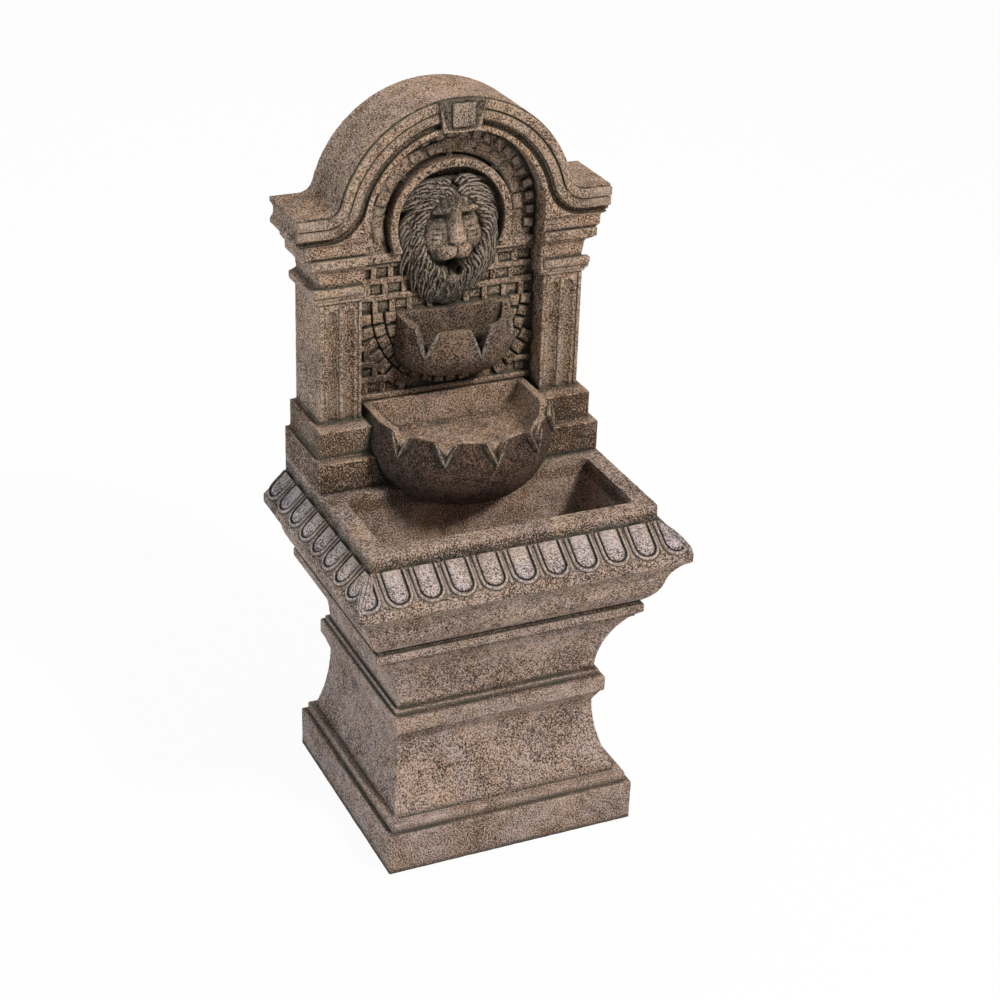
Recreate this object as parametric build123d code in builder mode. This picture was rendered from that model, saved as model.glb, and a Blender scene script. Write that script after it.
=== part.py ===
"""Two-bowl wall fountain on a pedestal: castings, fastenings and water circuit, in millimetres.

X runs to the right, the front faces -Y and Z points up. The origin is the middle of the footprint,
on the floor.
"""
import os
from math import cos, radians, sin, sqrt

from build123d import *

os.makedirs("parts", exist_ok=True)

# Overall depth, from the front of the basin lip to the back of the plinth
DEPTH = 237.0
FRONT_Y = -DEPTH / 2
BACK_Y = DEPTH / 2

# Clearances
BEDDING_GAP = 0.4
SCREW_GAP = 0.25
PUSH_GAP = 0.2
RUNNING_GAP = 0.05
SLIDE_GAP = 0.35
COVER_GAP = 0.6

# Pedestal, course by course from the floor
PLINTH_WIDTH = 230.0
PLINTH_DEPTH = 220.0
PLINTH_HEIGHT = 34.5
PLINTH_LEDGE = 7.0
PLINTH_EASING = 4.0
SCOTIA_HEIGHT = 67.5
SCOTIA_IN_SIDE = 15.6
SCOTIA_IN_FRONT = 33.5
SCOTIA_IN_BACK = 7.5
BAND_HEIGHT = 28.0
BAND_PROUD_SIDE = 5.4
BAND_PROUD_FRONT = 10.0
BAND_PROUD_BACK = 8.0
BAND_EASING = 2.5
FLARE_HEIGHT = 67.0
FLARE_OUT_SIDE = 26.5
FLARE_OUT_FRONT = 23.5
FLARE_OUT_BACK = 7.5
FILLET_HEIGHT = 12.0
FILLET_PROUD = 1.6
PEDESTAL_WALL = 11.0
PEDESTAL_DECK = 12.0
PEDESTAL_CORNER = 3.0

# Basin, course by course
WALL_SETBACK = 4.5
LIP_WIDTH = 300.0
CYMA_HEIGHT = 49.0
CYMA_START_ANGLE = 36.0
LIP_HEIGHT = 8.0
OVOLO_HEIGHT = 20.0
OVOLO_IN_SIDE = 20.7
OVOLO_IN_FRONT = 29.8
RIM_HEIGHT = 15.0
RIM_WALL_SIDE = 16.3
RIM_WALL_FRONT = 13.4
SEAT_INSET = 1.2
BASIN_FLOOR = 24.0
TROUGH_LEDGE = 11.8
TROUGH_CORNER = 14.0
PARTITION = 22.0
CHAMBER_WALL = 25.0
BASIN_BACK_WALL = 9.0
INTAKE_WIDTH = 60.0
INTAKE_HEIGHT = 12.0

# Wall: blocks, pilasters, capitals, cornice and arch
LOWER_BLOCK_WIDTH = 259.2
LOWER_BLOCK_DEPTH = 86.2
LOWER_BLOCK_HEIGHT = 27.0
UPPER_BLOCK_WIDTH = 249.7
UPPER_BLOCK_SETBACK = 9.95
UPPER_BLOCK_HEIGHT = 24.6
SHAFT_WIDTH = 238.4
SHAFT_SETBACK = 16.15
SHAFT_HEIGHT = 108.4
ASTRAGAL_HEIGHT = 12.0
ASTRAGAL_OUT = 5.4
NECK_HEIGHT = 18.0
NECK_IN = 1.3
ABACUS_HEIGHT = 8.5
ABACUS_OUT = 8.8
FRIEZE_HEIGHT = 15.0
FRIEZE_OUT = 12.8
CORNICE_HEIGHT = 22.5
CORNICE_OUT = 21.2
CORNICE_HOLLOW = 3.0
CORNICE_FILLET = 4.0
MOULDING_EASING = 3.0
FRONT_SHARE = 0.36
ARCH_RADIUS = 107.0
ARCH_DROP = 18.0
ARCH_PROUD = 6.4
ARCH_SWEEP = 13.0
BARREL_STEP = 3.0
BARREL_SETBACK = 2.5
FASCIA = 8.0
FASCIA_STEP = 1.4
COVE = 4.5
COVE_DEPTH = 4.5
KEYSTONE_TOP_WIDTH = 41.0
KEYSTONE_FOOT_WIDTH = 32.0
KEYSTONE_HEIGHT = 24.0
KEYSTONE_PROUD = 4.0
KEYSTONE_DROP = 0.8
FLUTE_WIDTH = 9.0
FLUTE_DEPTH = 3.0
FLUTE_SPACING = 15.0
FLUTE_TOP_MARGIN = 7.0

# Niche and the space behind it
NICHE_WIDTH = 164.0
NICHE_HEAD_WIDTH = 158.0
FIELD_SETBACK = 21.1
PANEL_THICKNESS = 7.0
PANEL_LAP = 11.0
COVER_LEDGE = 8.0
COVER_THICKNESS = 6.0
SILL_HEIGHT = 26.0
SILL_DEPTH = 9.0
RING_RADIUS = 55.0
RING_BAND = 7.0
RING_PROUD = 15.0
RING_DROP = 3.5
RING_FOOT = 22.0
VOUSSOIR_PROUD = 6.0
VOUSSOIR_GAP = 2.5
IMPOST_HEIGHT = 8.0
IMPOST_PROUD = 9.0
LEDGE_HEIGHT = 5.5
LEDGE_PROUD = 5.5

# Lower bowl
LOWER_RADIUS = 80.0
LOWER_AXIS_OUT = 38.0
LOWER_RIM_RISE = 59.0
LOWER_DEPTH = 76.0
LOWER_LIP = 7.0
LOWER_RIM_IN = 4.0
LOWER_BULGE_DROP = 21.0
LOWER_FOOT_RADIUS = 26.0
LOWER_HOLLOW = 30.0
LOWER_NOTCH_ANGLES = (-61.0, -31.0, 0.0, 31.0, 61.0)
LOWER_NOTCH_WIDTH = 24.0
LOWER_NOTCH_DEPTH = 19.0

# Upper bowl, hung a little to the right; its notches as side, angle from the front and depth
UPPER_RADIUS = 44.0
UPPER_FLAT = 20.0
UPPER_OFFSET = 7.0
UPPER_RIM_RISE = 68.0
UPPER_DEPTH = 46.0
UPPER_LIP = 6.5
UPPER_RIM_IN = 2.5
UPPER_BULGE_DROP = 20.0
UPPER_FOOT_RADIUS = 19.0
UPPER_HOLLOW = 34.0
UPPER_NOTCHES = ((-1, 38.0, 23.0), (1, 0.0, 27.0), (1, 60.0, 25.0))
UPPER_NOTCH_WIDTH = 19.0
UPPER_SCREW_SPAN = 32.0

# Lion mask: outline ovals as half-width, half-height, centre height and relief
SPOUT_RISE = 52.0
MANE_HALF_WIDTH = 41.5
MANE_HALF_HEIGHT = 48.0
MANE_RISE = 23.0
MANE_RELIEF = 14.0
FACE_HALF_WIDTH = 27.0
FACE_HALF_HEIGHT = 36.0
FACE_RISE = 27.0
FACE_RELIEF = 24.0
MUZZLE_HALF_WIDTH = 16.0
MUZZLE_HALF_HEIGHT = 17.0
MUZZLE_RISE = 12.0
MUZZLE_RELIEF = 33.0
BEARD_HALF_WIDTH = 17.0
BEARD_HALF_HEIGHT = 16.0
BEARD_DROP = 13.0
BEARD_RELIEF = 22.0
MASK_ROUNDING = 6.0

# Fastenings
BOLT_RADIUS = 4.0
BOLT_HEAD_FLATS = 13.0
BOLT_HEAD_HEIGHT = 5.3
BOLT_BITE = 14.0
WASHER_RADIUS = 8.0
WASHER_THICKNESS = 1.6
PEDESTAL_BOLT_SPAN_X = 120.0
PEDESTAL_BOLT_SPAN_Y = 90.0
DOWEL_RADIUS = 4.0
DOWEL_LENGTH = 30.0
DOWEL_INSETS = (16.0, 52.0)
SCREW_RADIUS = 1.75
SCREW_HEAD_RADIUS = 3.6
SCREW_HEAD_HEIGHT = 2.4
SCREW_BITE = 8.0
BOWL_SCREW_SPAN = 60.0
MASK_SCREW_SPAN = 50.0
MASK_SCREW_RISE = 32.0
MASK_SCREW_BITE = 6.0
PANEL_SCREW_ANGLE = 35.0
COVER_SCREW_ANGLE = 40.0

# Pump and its rotor, along X
PUMP_LENGTH = 50.0
PUMP_WIDTH = 38.0
PUMP_HEIGHT = 46.0
PUMP_WALL = 2.5
PUMP_ROUNDING = 4.0
PUMP_AXIS_RISE = 19.0
VOLUTE_LENGTH = 14.0
VOLUTE_RADIUS = 15.5
VOLUTE_FLOOR = 3.0
OUTLET_OFFSET = 11.0
BACK_PLATE = 2.5
WELL_RADIUS = 8.0
WELL_WALL = 1.2
WELL_LENGTH = 32.0
WELL_END = 4.0
MAGNET_RADIUS = 7.6
MAGNET_LENGTH = 25.0
ROTOR_END_GAP = 0.6
SHAFT_RADIUS = 1.5
BUSH_RADIUS = 3.0
BUSH_LENGTH = 3.0
IMPELLER_RADIUS = 12.5
IMPELLER_DISC = 1.6
IMPELLER_HUB_RADIUS = 4.5
BLADE_COUNT = 6
BLADE_THICKNESS = 1.4
BLADE_HEIGHT = 5.0
CORE_STACK = 18.0
CORE_LEG = 4.5
CORE_HEIGHT = 29.0
CORE_RISE = 10.0
COIL_SIDE = 3.4
COIL_WIDTH = 17.0
COVER_PLATE = 3.0
INLET_RADIUS = 3.2
INLET_PITCH = 8.0
INLET_COUNT = 3
STRAINER_LENGTH = 17.0
STRAINER_WALL = 2.0
STRAINER_SLOT = 2.4
STRAINER_SLOT_PITCH = 5.0
STRAINER_SLOT_COUNT = 5
STRAINER_SLOT_LENGTH = 30.0
SLIDER_TRAVEL = 5.0
SLIDER_STEM = 3.0
SLIDER_PLATE = 8.0
SLIDER_THICKNESS = 2.0
SLIDER_KNOB = 7.0
CUP_HEIGHT = 6.0
CUP_RADIUS = 6.5
CUP_NECK_RADIUS = 3.5
CUP_STEM_RADIUS = 2.0
CUP_STEM = 1.8
CUP_SPAN_X = 34.0
CUP_SPAN_Y = 24.0

# Riser hose, spout and fittings
HOSE_STANDOFF = 13.0
HOSE_RADIUS = 6.5
HOSE_BORE = 5.0
HOSE_TOP_MARGIN = 18.0
SPIGOT_BORE = 3.4
SPIGOT_GRIP = 12.0
SPIGOT_FLANGE_RADIUS = 8.0
SPIGOT_FLANGE = 2.0
SPIGOT_STUB = 6.0
ELBOW_BEND = 9.0
ELBOW_COLLAR = 2.0
SPOUT_RECESS = 2.5
NUT_FLATS = 17.0
NUT_THICKNESS = 3.6
CLAMP_WIDTH = 6.0
CLAMP_THICKNESS = 1.2
CLAMP_EAR = 5.0
SADDLE_WIDTH = 8.0
SADDLE_THICKNESS = 2.0
SADDLE_BASE = 26.0
SADDLE_RISES = (50.0, 115.0)
GROMMET_RADIUS = 5.0
GROMMET_BORE = 2.6
GROMMET_FLANGE_RADIUS = 7.5
GROMMET_FLANGE = 2.0
GROMMET_X = 50.0
DRAIN_RADIUS = 7.0
DRAIN_TAPER = 0.6
DRAIN_FLANGE_RADIUS = 10.5
DRAIN_FLANGE = 3.5
DRAIN_X = -70.0
DRAIN_RISE = 11.0

# Levels of the courses
SCOTIA_Z = PLINTH_HEIGHT + PLINTH_EASING
BAND_Z = SCOTIA_Z + SCOTIA_HEIGHT
FLARE_Z = BAND_Z + BAND_HEIGHT
FILLET_Z = FLARE_Z + FLARE_HEIGHT
BASIN_Z = FILLET_Z + FILLET_HEIGHT
LIP_Z = BASIN_Z + CYMA_HEIGHT
OVOLO_Z = LIP_Z + LIP_HEIGHT
RIM_Z = OVOLO_Z + OVOLO_HEIGHT
WALL_Z = RIM_Z + RIM_HEIGHT
UPPER_BLOCK_Z = WALL_Z + LOWER_BLOCK_HEIGHT
SHAFT_Z = UPPER_BLOCK_Z + UPPER_BLOCK_HEIGHT
ASTRAGAL_Z = SHAFT_Z + SHAFT_HEIGHT
NECK_Z = ASTRAGAL_Z + ASTRAGAL_HEIGHT
ABACUS_Z = NECK_Z + NECK_HEIGHT
FRIEZE_Z = ABACUS_Z + ABACUS_HEIGHT
CORNICE_Z = FRIEZE_Z + FRIEZE_HEIGHT
CORNICE_TOP = CORNICE_Z + CORNICE_HEIGHT
ARCH_Z = CORNICE_TOP - ARCH_DROP
TOP_Z = ARCH_Z + ARCH_RADIUS
LOWER_RIM_Z = WALL_Z + LOWER_RIM_RISE
UPPER_RIM_Z = LOWER_RIM_Z + UPPER_RIM_RISE
SPOUT_Z = UPPER_RIM_Z + SPOUT_RISE

# Planes and half-widths that several pieces share
WALL_BACK = BACK_Y - WALL_SETBACK
LOWER_BLOCK_FRONT = WALL_BACK - LOWER_BLOCK_DEPTH
UPPER_BLOCK_FRONT = LOWER_BLOCK_FRONT + UPPER_BLOCK_SETBACK
SHAFT_FRONT = UPPER_BLOCK_FRONT + SHAFT_SETBACK
ARCH_FRONT = SHAFT_FRONT - ARCH_PROUD
FIELD_Y = SHAFT_FRONT + FIELD_SETBACK
PANEL_BACK = FIELD_Y + PANEL_THICKNESS
TROUGH_BACK_Y = LOWER_BLOCK_FRONT - TROUGH_LEDGE
LOWER_AXIS_Y = FIELD_Y - LOWER_AXIS_OUT
HOSE_Y = PANEL_BACK + HOSE_STANDOFF
NECK_HALF = PLINTH_WIDTH / 2 - PLINTH_LEDGE - SCOTIA_IN_SIDE
NECK_FRONT = BACK_Y - PLINTH_DEPTH + PLINTH_LEDGE + SCOTIA_IN_FRONT
NECK_BACK = BACK_Y - PLINTH_LEDGE - SCOTIA_IN_BACK
FILLET_HALF = NECK_HALF + FLARE_OUT_SIDE + FILLET_PROUD
FILLET_FRONT = NECK_FRONT - FLARE_OUT_FRONT - FILLET_PROUD
RIM_HALF = LIP_WIDTH / 2 - OVOLO_IN_SIDE
RIM_FRONT = FRONT_Y + OVOLO_IN_FRONT
FLOOR_Z = BASIN_Z + BASIN_FLOOR
CHAMBER_FRONT = TROUGH_BACK_Y + PARTITION
CHAMBER_BACK = WALL_BACK - BASIN_BACK_WALL
CHAMBER_HALF = RIM_HALF - CHAMBER_WALL
CAVITY_HALF = NICHE_WIDTH / 2 + PANEL_LAP
COVER_HALF = CAVITY_HALF + COVER_LEDGE
COVER_INNER_Y = WALL_BACK - COVER_THICKNESS
COVER_FOOT = WALL_Z + SILL_HEIGHT - COVER_LEDGE
SWEEP_X = sqrt((ARCH_RADIUS + ARCH_SWEEP) ** 2 - (ARCH_DROP + ARCH_SWEEP) ** 2)
CORNICE_HALF = SHAFT_WIDTH / 2 + CORNICE_OUT
ROOM = 2 * (LIP_WIDTH + DEPTH)

# Pump places
PUMP_Y = HOSE_Y - OUTLET_OFFSET
PUMP_Z = FLOOR_Z + CUP_HEIGHT
PUMP_TOP = PUMP_Z + PUMP_HEIGHT
AXIS_Z = PUMP_Z + PUMP_AXIS_RISE
VOLUTE_BACK_X = -VOLUTE_LENGTH / 2
VOLUTE_FRONT_X = VOLUTE_LENGTH / 2
PUMP_BACK_X = VOLUTE_BACK_X - PUMP_LENGTH
COVER_FRONT_X = VOLUTE_FRONT_X + COVER_PLATE
STRAINER_FRONT_X = COVER_FRONT_X + STRAINER_LENGTH
WELL_BACK_X = VOLUTE_BACK_X - WELL_LENGTH
HOSE_FOOT = PUMP_TOP + SPIGOT_FLANGE
HOSE_TOP = SPOUT_Z - HOSE_TOP_MARGIN


def save(piece, name):
    """Label a finished piece and write it."""
    piece.part.label = name
    export_step(piece.part, f"parts/{name}.step")


def pedestal_edge(plinth, out, scotia_in, band_out, flare_out):
    """Draw one edge of the pedestal from the floor up; out is the outward direction, +1 or -1."""
    foot = plinth - out * PLINTH_LEDGE
    neck = foot - out * scotia_in
    band = neck + out * band_out
    flare = neck + out * flare_out
    fillet = flare + out * FILLET_PROUD
    Polyline((plinth, 0), (plinth, PLINTH_HEIGHT), (foot, SCOTIA_Z))
    TangentArc((neck, BAND_Z), (foot, SCOTIA_Z), tangent=(0, -1))
    Polyline(
        (neck, BAND_Z),
        (band, BAND_Z + BAND_EASING),
        (band, FLARE_Z - BAND_EASING),
        (neck, FLARE_Z),
    )
    TangentArc((neck, FLARE_Z), (flare, FILLET_Z), tangent=(0, 1))
    Polyline((flare, FILLET_Z), (fillet, FILLET_Z), (fillet, BASIN_Z))


def basin_edge(seat, lip, rim):
    """Draw one moulded edge of the basin, from its seat on the pedestal to the top of the rim."""
    middle = ((seat + lip) / 2, (BASIN_Z + LIP_Z) / 2)
    run = (lip - seat) / abs(lip - seat) * cos(radians(CYMA_START_ANGLE))
    rise = sin(radians(CYMA_START_ANGLE))
    TangentArc((seat, BASIN_Z), middle, tangent=(run, rise))
    TangentArc((lip, LIP_Z), middle, tangent=(-run, -rise))
    Polyline((lip, LIP_Z), (lip, OVOLO_Z), (rim, RIM_Z), (rim, WALL_Z))


def capital_edge(face, out):
    """Draw the shaft, capital and cornice; face is the shaft's face and out scales the projections."""

    def at(projection, z):
        """Give the point at a projection from the shaft's face."""
        return (face + out * projection, z)

    Polyline(
        at(0, SHAFT_Z),
        at(0, ASTRAGAL_Z),
        at(ASTRAGAL_OUT, ASTRAGAL_Z + MOULDING_EASING),
        at(ASTRAGAL_OUT, NECK_Z - MOULDING_EASING),
        at(-NECK_IN, NECK_Z),
        at(NECK_IN, ABACUS_Z - MOULDING_EASING),
        at(ABACUS_OUT, ABACUS_Z),
        at(ABACUS_OUT, FRIEZE_Z),
        at(FRIEZE_OUT, FRIEZE_Z + MOULDING_EASING),
        at(FRIEZE_OUT, CORNICE_Z - MOULDING_EASING),
        at(CORNICE_OUT, CORNICE_Z),
        at(CORNICE_OUT, CORNICE_Z + CORNICE_FILLET),
    )
    ThreePointArc(
        at(CORNICE_OUT, CORNICE_Z + CORNICE_FILLET),
        at(CORNICE_OUT - CORNICE_HOLLOW, (CORNICE_Z + CORNICE_TOP) / 2),
        at(CORNICE_OUT, CORNICE_TOP - CORNICE_FILLET),
    )
    Line(at(CORNICE_OUT, CORNICE_TOP - CORNICE_FILLET), at(CORNICE_OUT, CORNICE_TOP))


def arch_edge(inset):
    """Draw half of the line that runs over the arch and out along the cornice, moved inwards by inset."""
    radius = ARCH_RADIUS - inset
    sweep = ARCH_SWEEP + inset
    reach = ARCH_RADIUS + ARCH_SWEEP
    level = CORNICE_TOP - inset
    touch = (SWEEP_X * radius / reach, ARCH_Z + (ARCH_DROP + ARCH_SWEEP) * radius / reach)
    Line((CORNICE_HALF, level), (SWEEP_X, level))
    RadiusArc((SWEEP_X, level), touch, sweep)
    RadiusArc(touch, (0, ARCH_Z + radius), -radius)


def arch_band(y, outer, inner):
    """Give the band between two lines of the arch, as a face at depth y."""
    with BuildSketch(Plane.XZ.offset(-y)) as band:
        with BuildLine():
            arch_edge(outer)
            arch_edge(inner)
            Line((CORNICE_HALF, CORNICE_TOP - outer), (CORNICE_HALF, CORNICE_TOP - inner))
            Line((0, TOP_Z - outer), (0, TOP_Z - inner))
        make_face()
        mirror(about=Plane.YZ)
    return band.sketch


def arched_face(y, half_width, foot):
    """Give a round-headed outline about the arch's centre, as a face at depth y."""
    with BuildSketch(Plane.XZ.offset(-y)) as outline:
        with BuildLine():
            Polyline((-half_width, ARCH_Z), (-half_width, foot), (half_width, foot), (half_width, ARCH_Z))
            CenterArc((0, ARCH_Z), half_width, 0, 180)
        make_face()
    return outline.sketch


def section_plane(origin, out):
    """Give an upright plane through an axis, with its X pointing outwards and its Y up."""
    return Plane(origin=origin, x_dir=out, z_dir=Vector(out).cross(Vector(0, 0, 1)))


def bowl_section(plane, size, outline_only, grow=0.0):
    """Give half of a bowl's upright section on a plane, from its axis outwards.

    size holds radius, rim height, depth, lip, rim set-in, bulge drop, foot radius and hollow depth.
    """
    radius, rim_z, depth, lip, rim_in, bulge_drop, foot, hollow = size
    foot_z = rim_z - depth
    bulge_z = rim_z - bulge_drop
    rim = radius - rim_in
    with BuildSketch(plane) as section:
        with BuildLine():
            Line((0, foot_z), (foot, foot_z))
            TangentArc((radius, bulge_z), (foot, foot_z), tangent=(0, -1))
            Line((radius, bulge_z), (rim, rim_z))
            if outline_only:
                Polyline((rim, rim_z), (0, rim_z), (0, foot_z))
            else:
                floor_z = rim_z - hollow
                inner = rim - lip
                Line((rim, rim_z), (inner, rim_z))
                TangentArc((inner, rim_z), (inner / 2, floor_z), tangent=(0, -1))
                Polyline((inner / 2, floor_z), (0, floor_z), (0, foot_z))
        make_face()
        if grow:
            offset(amount=grow, kind=Kind.INTERSECTION)
    return section.sketch


def notch_plane(axis_x, axis_y, angle, start):
    """Give the plane of a rim notch that looks out from a bowl's axis, angle degrees from the front."""
    way = (sin(radians(angle)), -cos(radians(angle)), 0)
    along = (cos(radians(angle)), sin(radians(angle)), 0)
    origin = (axis_x + way[0] * start, axis_y + way[1] * start, 0)
    return Plane(origin=origin, x_dir=along, z_dir=way)


def notch_face(plane, rim_z, width, depth):
    """Give the V of a rim notch, a little taller than the rim."""
    with BuildSketch(plane) as notch:
        with BuildLine():
            Polyline(
                (0, rim_z - depth),
                (width / 2, rim_z),
                (width / 2, rim_z + depth),
                (-width / 2, rim_z + depth),
                (-width / 2, rim_z),
                close=True,
            )
        make_face()
    return notch.sketch


def rounded_oval(half_width, half_height, rise, relief):
    """Give an oval that stands off the field with a rounded edge, rise above the spout."""
    with BuildPart() as oval:
        with BuildSketch(Plane.XZ.offset(-FIELD_Y)):
            with Locations((0, SPOUT_Z + rise)):
                Ellipse(half_width, half_height)
        extrude(amount=relief)
        fillet(oval.faces().sort_by(Axis.Y)[0].edges(), MASK_ROUNDING)
    return oval.part


def screw_group(places, shank, direction, head_out):
    """Give pan-head screws: places are the seats of the heads, direction the way the shanks run."""
    with BuildPart() as screws:
        for place in places:
            seat = Plane(origin=place, z_dir=direction)
            with BuildSketch(seat):
                Circle(SCREW_RADIUS)
            extrude(amount=shank)
            with BuildSketch(seat):
                Circle(SCREW_HEAD_RADIUS)
            extrude(amount=-head_out)
    return screws


def bore(places, direction, radius, length):
    """Give round cutters that start at the places and run in the direction."""
    with BuildPart() as cutters:
        for place in places:
            with BuildSketch(Plane(origin=place, z_dir=direction)):
                Circle(radius)
            extrude(amount=length)
    return cutters.part


TO_FRONT = (0, -1, 0)
TO_BACK = (0, 1, 0)
UP = (0, 0, 1)
DOWN = (0, 0, -1)
TO_RIGHT = (1, 0, 0)
TO_LEFT = (-1, 0, 0)

LOWER_SIZE = (LOWER_RADIUS, LOWER_RIM_Z, LOWER_DEPTH, LOWER_LIP, LOWER_RIM_IN, LOWER_BULGE_DROP,
              LOWER_FOOT_RADIUS, LOWER_HOLLOW)
UPPER_SIZE = (UPPER_RADIUS, UPPER_RIM_Z, UPPER_DEPTH, UPPER_LIP, UPPER_RIM_IN, UPPER_BULGE_DROP,
              UPPER_FOOT_RADIUS, UPPER_HOLLOW)

# Places of the fastenings
pedestal_bolt_y = (NECK_FRONT + NECK_BACK) / 2
pedestal_bolt_xy = [
    (sx * PEDESTAL_BOLT_SPAN_X / 2, pedestal_bolt_y + sy * PEDESTAL_BOLT_SPAN_Y / 2)
    for sx in (-1, 1)
    for sy in (-1, 1)
]
dowel_x = RIM_HALF - CHAMBER_WALL / 2
dowel_xy = [(sx * dowel_x, WALL_BACK - inset) for sx in (-1, 1) for inset in DOWEL_INSETS]
panel_edge = CAVITY_HALF - PANEL_LAP / 2
panel_screw_places = [(sx * panel_edge, PANEL_BACK, z) for sx in (-1, 1) for z in (SHAFT_Z, NECK_Z)]
panel_head_x = panel_edge * sin(radians(PANEL_SCREW_ANGLE))
panel_head_z = ARCH_Z + panel_edge * cos(radians(PANEL_SCREW_ANGLE))
panel_screw_places += [(sx * panel_head_x, PANEL_BACK, panel_head_z) for sx in (-1, 1)]
cover_edge = CAVITY_HALF + COVER_LEDGE / 2
cover_screw_places = [
    (sx * cover_edge, WALL_BACK, z) for sx in (-1, 1) for z in (UPPER_BLOCK_Z + SILL_HEIGHT, NECK_Z)
]
cover_head_x = cover_edge * sin(radians(COVER_SCREW_ANGLE))
cover_head_z = ARCH_Z + cover_edge * cos(radians(COVER_SCREW_ANGLE))
cover_screw_places += [(sx * cover_head_x, WALL_BACK, cover_head_z) for sx in (-1, 1)]
lower_screw_z = LOWER_RIM_Z - LOWER_HOLLOW - SCREW_HEAD_RADIUS
upper_screw_z = UPPER_RIM_Z - UPPER_HOLLOW - SCREW_HEAD_RADIUS / 2
lower_screw_places = [(sx * BOWL_SCREW_SPAN / 2, PANEL_BACK, lower_screw_z) for sx in (-1, 1)]
upper_screw_places = [
    (UPPER_OFFSET + sx * UPPER_SCREW_SPAN / 2, PANEL_BACK, upper_screw_z) for sx in (-1, 1)
]
mask_screw_places = [
    (sx * MASK_SCREW_SPAN / 2, PANEL_BACK, SPOUT_Z + MASK_SCREW_RISE) for sx in (-1, 1)
]
PANEL_SCREW_HOLE = SCREW_RADIUS + SCREW_GAP

# Pedestal: two silhouettes crossed, hollowed from below
with BuildPart() as pedestal:
    with BuildSketch(Plane.XZ):
        with BuildLine():
            pedestal_edge(PLINTH_WIDTH / 2, 1, SCOTIA_IN_SIDE, BAND_PROUD_SIDE, FLARE_OUT_SIDE)
            Line((FILLET_HALF, BASIN_Z), (0, BASIN_Z))
            Line((0, BASIN_Z), (0, 0))
            Line((0, 0), (PLINTH_WIDTH / 2, 0))
        make_face()
        mirror(about=Plane.YZ)
    extrude(amount=ROOM, both=True)
    with BuildSketch(Plane.YZ):
        with BuildLine():
            plinth_front = BACK_Y - PLINTH_DEPTH
            pedestal_edge(plinth_front, -1, SCOTIA_IN_FRONT, BAND_PROUD_FRONT, FLARE_OUT_FRONT)
            pedestal_edge(BACK_Y, 1, SCOTIA_IN_BACK, BAND_PROUD_BACK, FLARE_OUT_BACK)
            Line((FILLET_FRONT, BASIN_Z), (NECK_BACK + FLARE_OUT_BACK + FILLET_PROUD, BASIN_Z))
            Line((plinth_front, 0), (BACK_Y, 0))
        make_face()
    extrude(amount=ROOM, both=True, mode=Mode.INTERSECT)
    hollow_depth = NECK_BACK - NECK_FRONT - 2 * PEDESTAL_WALL
    with BuildSketch():
        with Locations((0, (NECK_BACK + NECK_FRONT) / 2)):
            RectangleRounded(2 * (NECK_HALF - PEDESTAL_WALL), hollow_depth, PEDESTAL_CORNER)
    extrude(amount=BASIN_Z - PEDESTAL_DECK, mode=Mode.SUBTRACT)
    bolt_places = [(x, y, BASIN_Z) for x, y in pedestal_bolt_xy]
    add(bore(bolt_places, DOWN, BOLT_RADIUS + SCREW_GAP, PEDESTAL_DECK), mode=Mode.SUBTRACT)
save(pedestal, "pedestal")

# Basin: moulded outside, trough in front, pump chamber behind the partition
with BuildPart() as basin:
    with BuildSketch(Plane.XZ):
        with BuildLine():
            basin_edge(FILLET_HALF - SEAT_INSET, LIP_WIDTH / 2, RIM_HALF)
            Polyline((RIM_HALF, WALL_Z), (0, WALL_Z), (0, BASIN_Z), (FILLET_HALF - SEAT_INSET, BASIN_Z))
        make_face()
        mirror(about=Plane.YZ)
    extrude(amount=ROOM, both=True)
    with BuildSketch(Plane.YZ):
        with BuildLine():
            basin_edge(FILLET_FRONT + SEAT_INSET, FRONT_Y, RIM_FRONT)
            Polyline(
                (RIM_FRONT, WALL_Z),
                (WALL_BACK, WALL_Z),
                (WALL_BACK, BASIN_Z),
                (FILLET_FRONT + SEAT_INSET, BASIN_Z),
            )
        make_face()
    extrude(amount=ROOM, both=True, mode=Mode.INTERSECT)
    trough_front = RIM_FRONT + RIM_WALL_FRONT
    with BuildSketch(Plane.XY.offset(FLOOR_Z)):
        with Locations((0, (trough_front + TROUGH_BACK_Y) / 2)):
            RectangleRounded(2 * (RIM_HALF - RIM_WALL_SIDE), TROUGH_BACK_Y - trough_front, TROUGH_CORNER / 2)
        with Locations((0, (CHAMBER_FRONT + CHAMBER_BACK) / 2)):
            RectangleRounded(2 * CHAMBER_HALF, CHAMBER_BACK - CHAMBER_FRONT, TROUGH_CORNER / 2)
    extrude(amount=WALL_Z - FLOOR_Z, mode=Mode.SUBTRACT)
    with BuildSketch(Plane.XZ.offset(-TROUGH_BACK_Y)):
        with Locations((0, FLOOR_Z)):
            Rectangle(INTAKE_WIDTH, INTAKE_HEIGHT, align=(Align.CENTER, Align.MIN))
    extrude(amount=PARTITION, dir=TO_BACK, mode=Mode.SUBTRACT)
    add(bore(bolt_places, UP, BOLT_RADIUS + SCREW_GAP, BOLT_BITE + SCREW_GAP), mode=Mode.SUBTRACT)
    dowel_places = [(x, y, WALL_Z) for x, y in dowel_xy]
    dowel_hole = DOWEL_RADIUS + SCREW_GAP
    dowel_depth = DOWEL_LENGTH / 2 + SCREW_GAP
    add(bore(dowel_places, DOWN, dowel_hole, dowel_depth), mode=Mode.SUBTRACT)
    drain_place = (DRAIN_X, CHAMBER_BACK, FLOOR_Z + DRAIN_RISE)
    add(bore([drain_place], TO_BACK, DRAIN_RADIUS + SLIDE_GAP, BASIN_BACK_WALL), mode=Mode.SUBTRACT)
save(basin, "basin")

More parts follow.
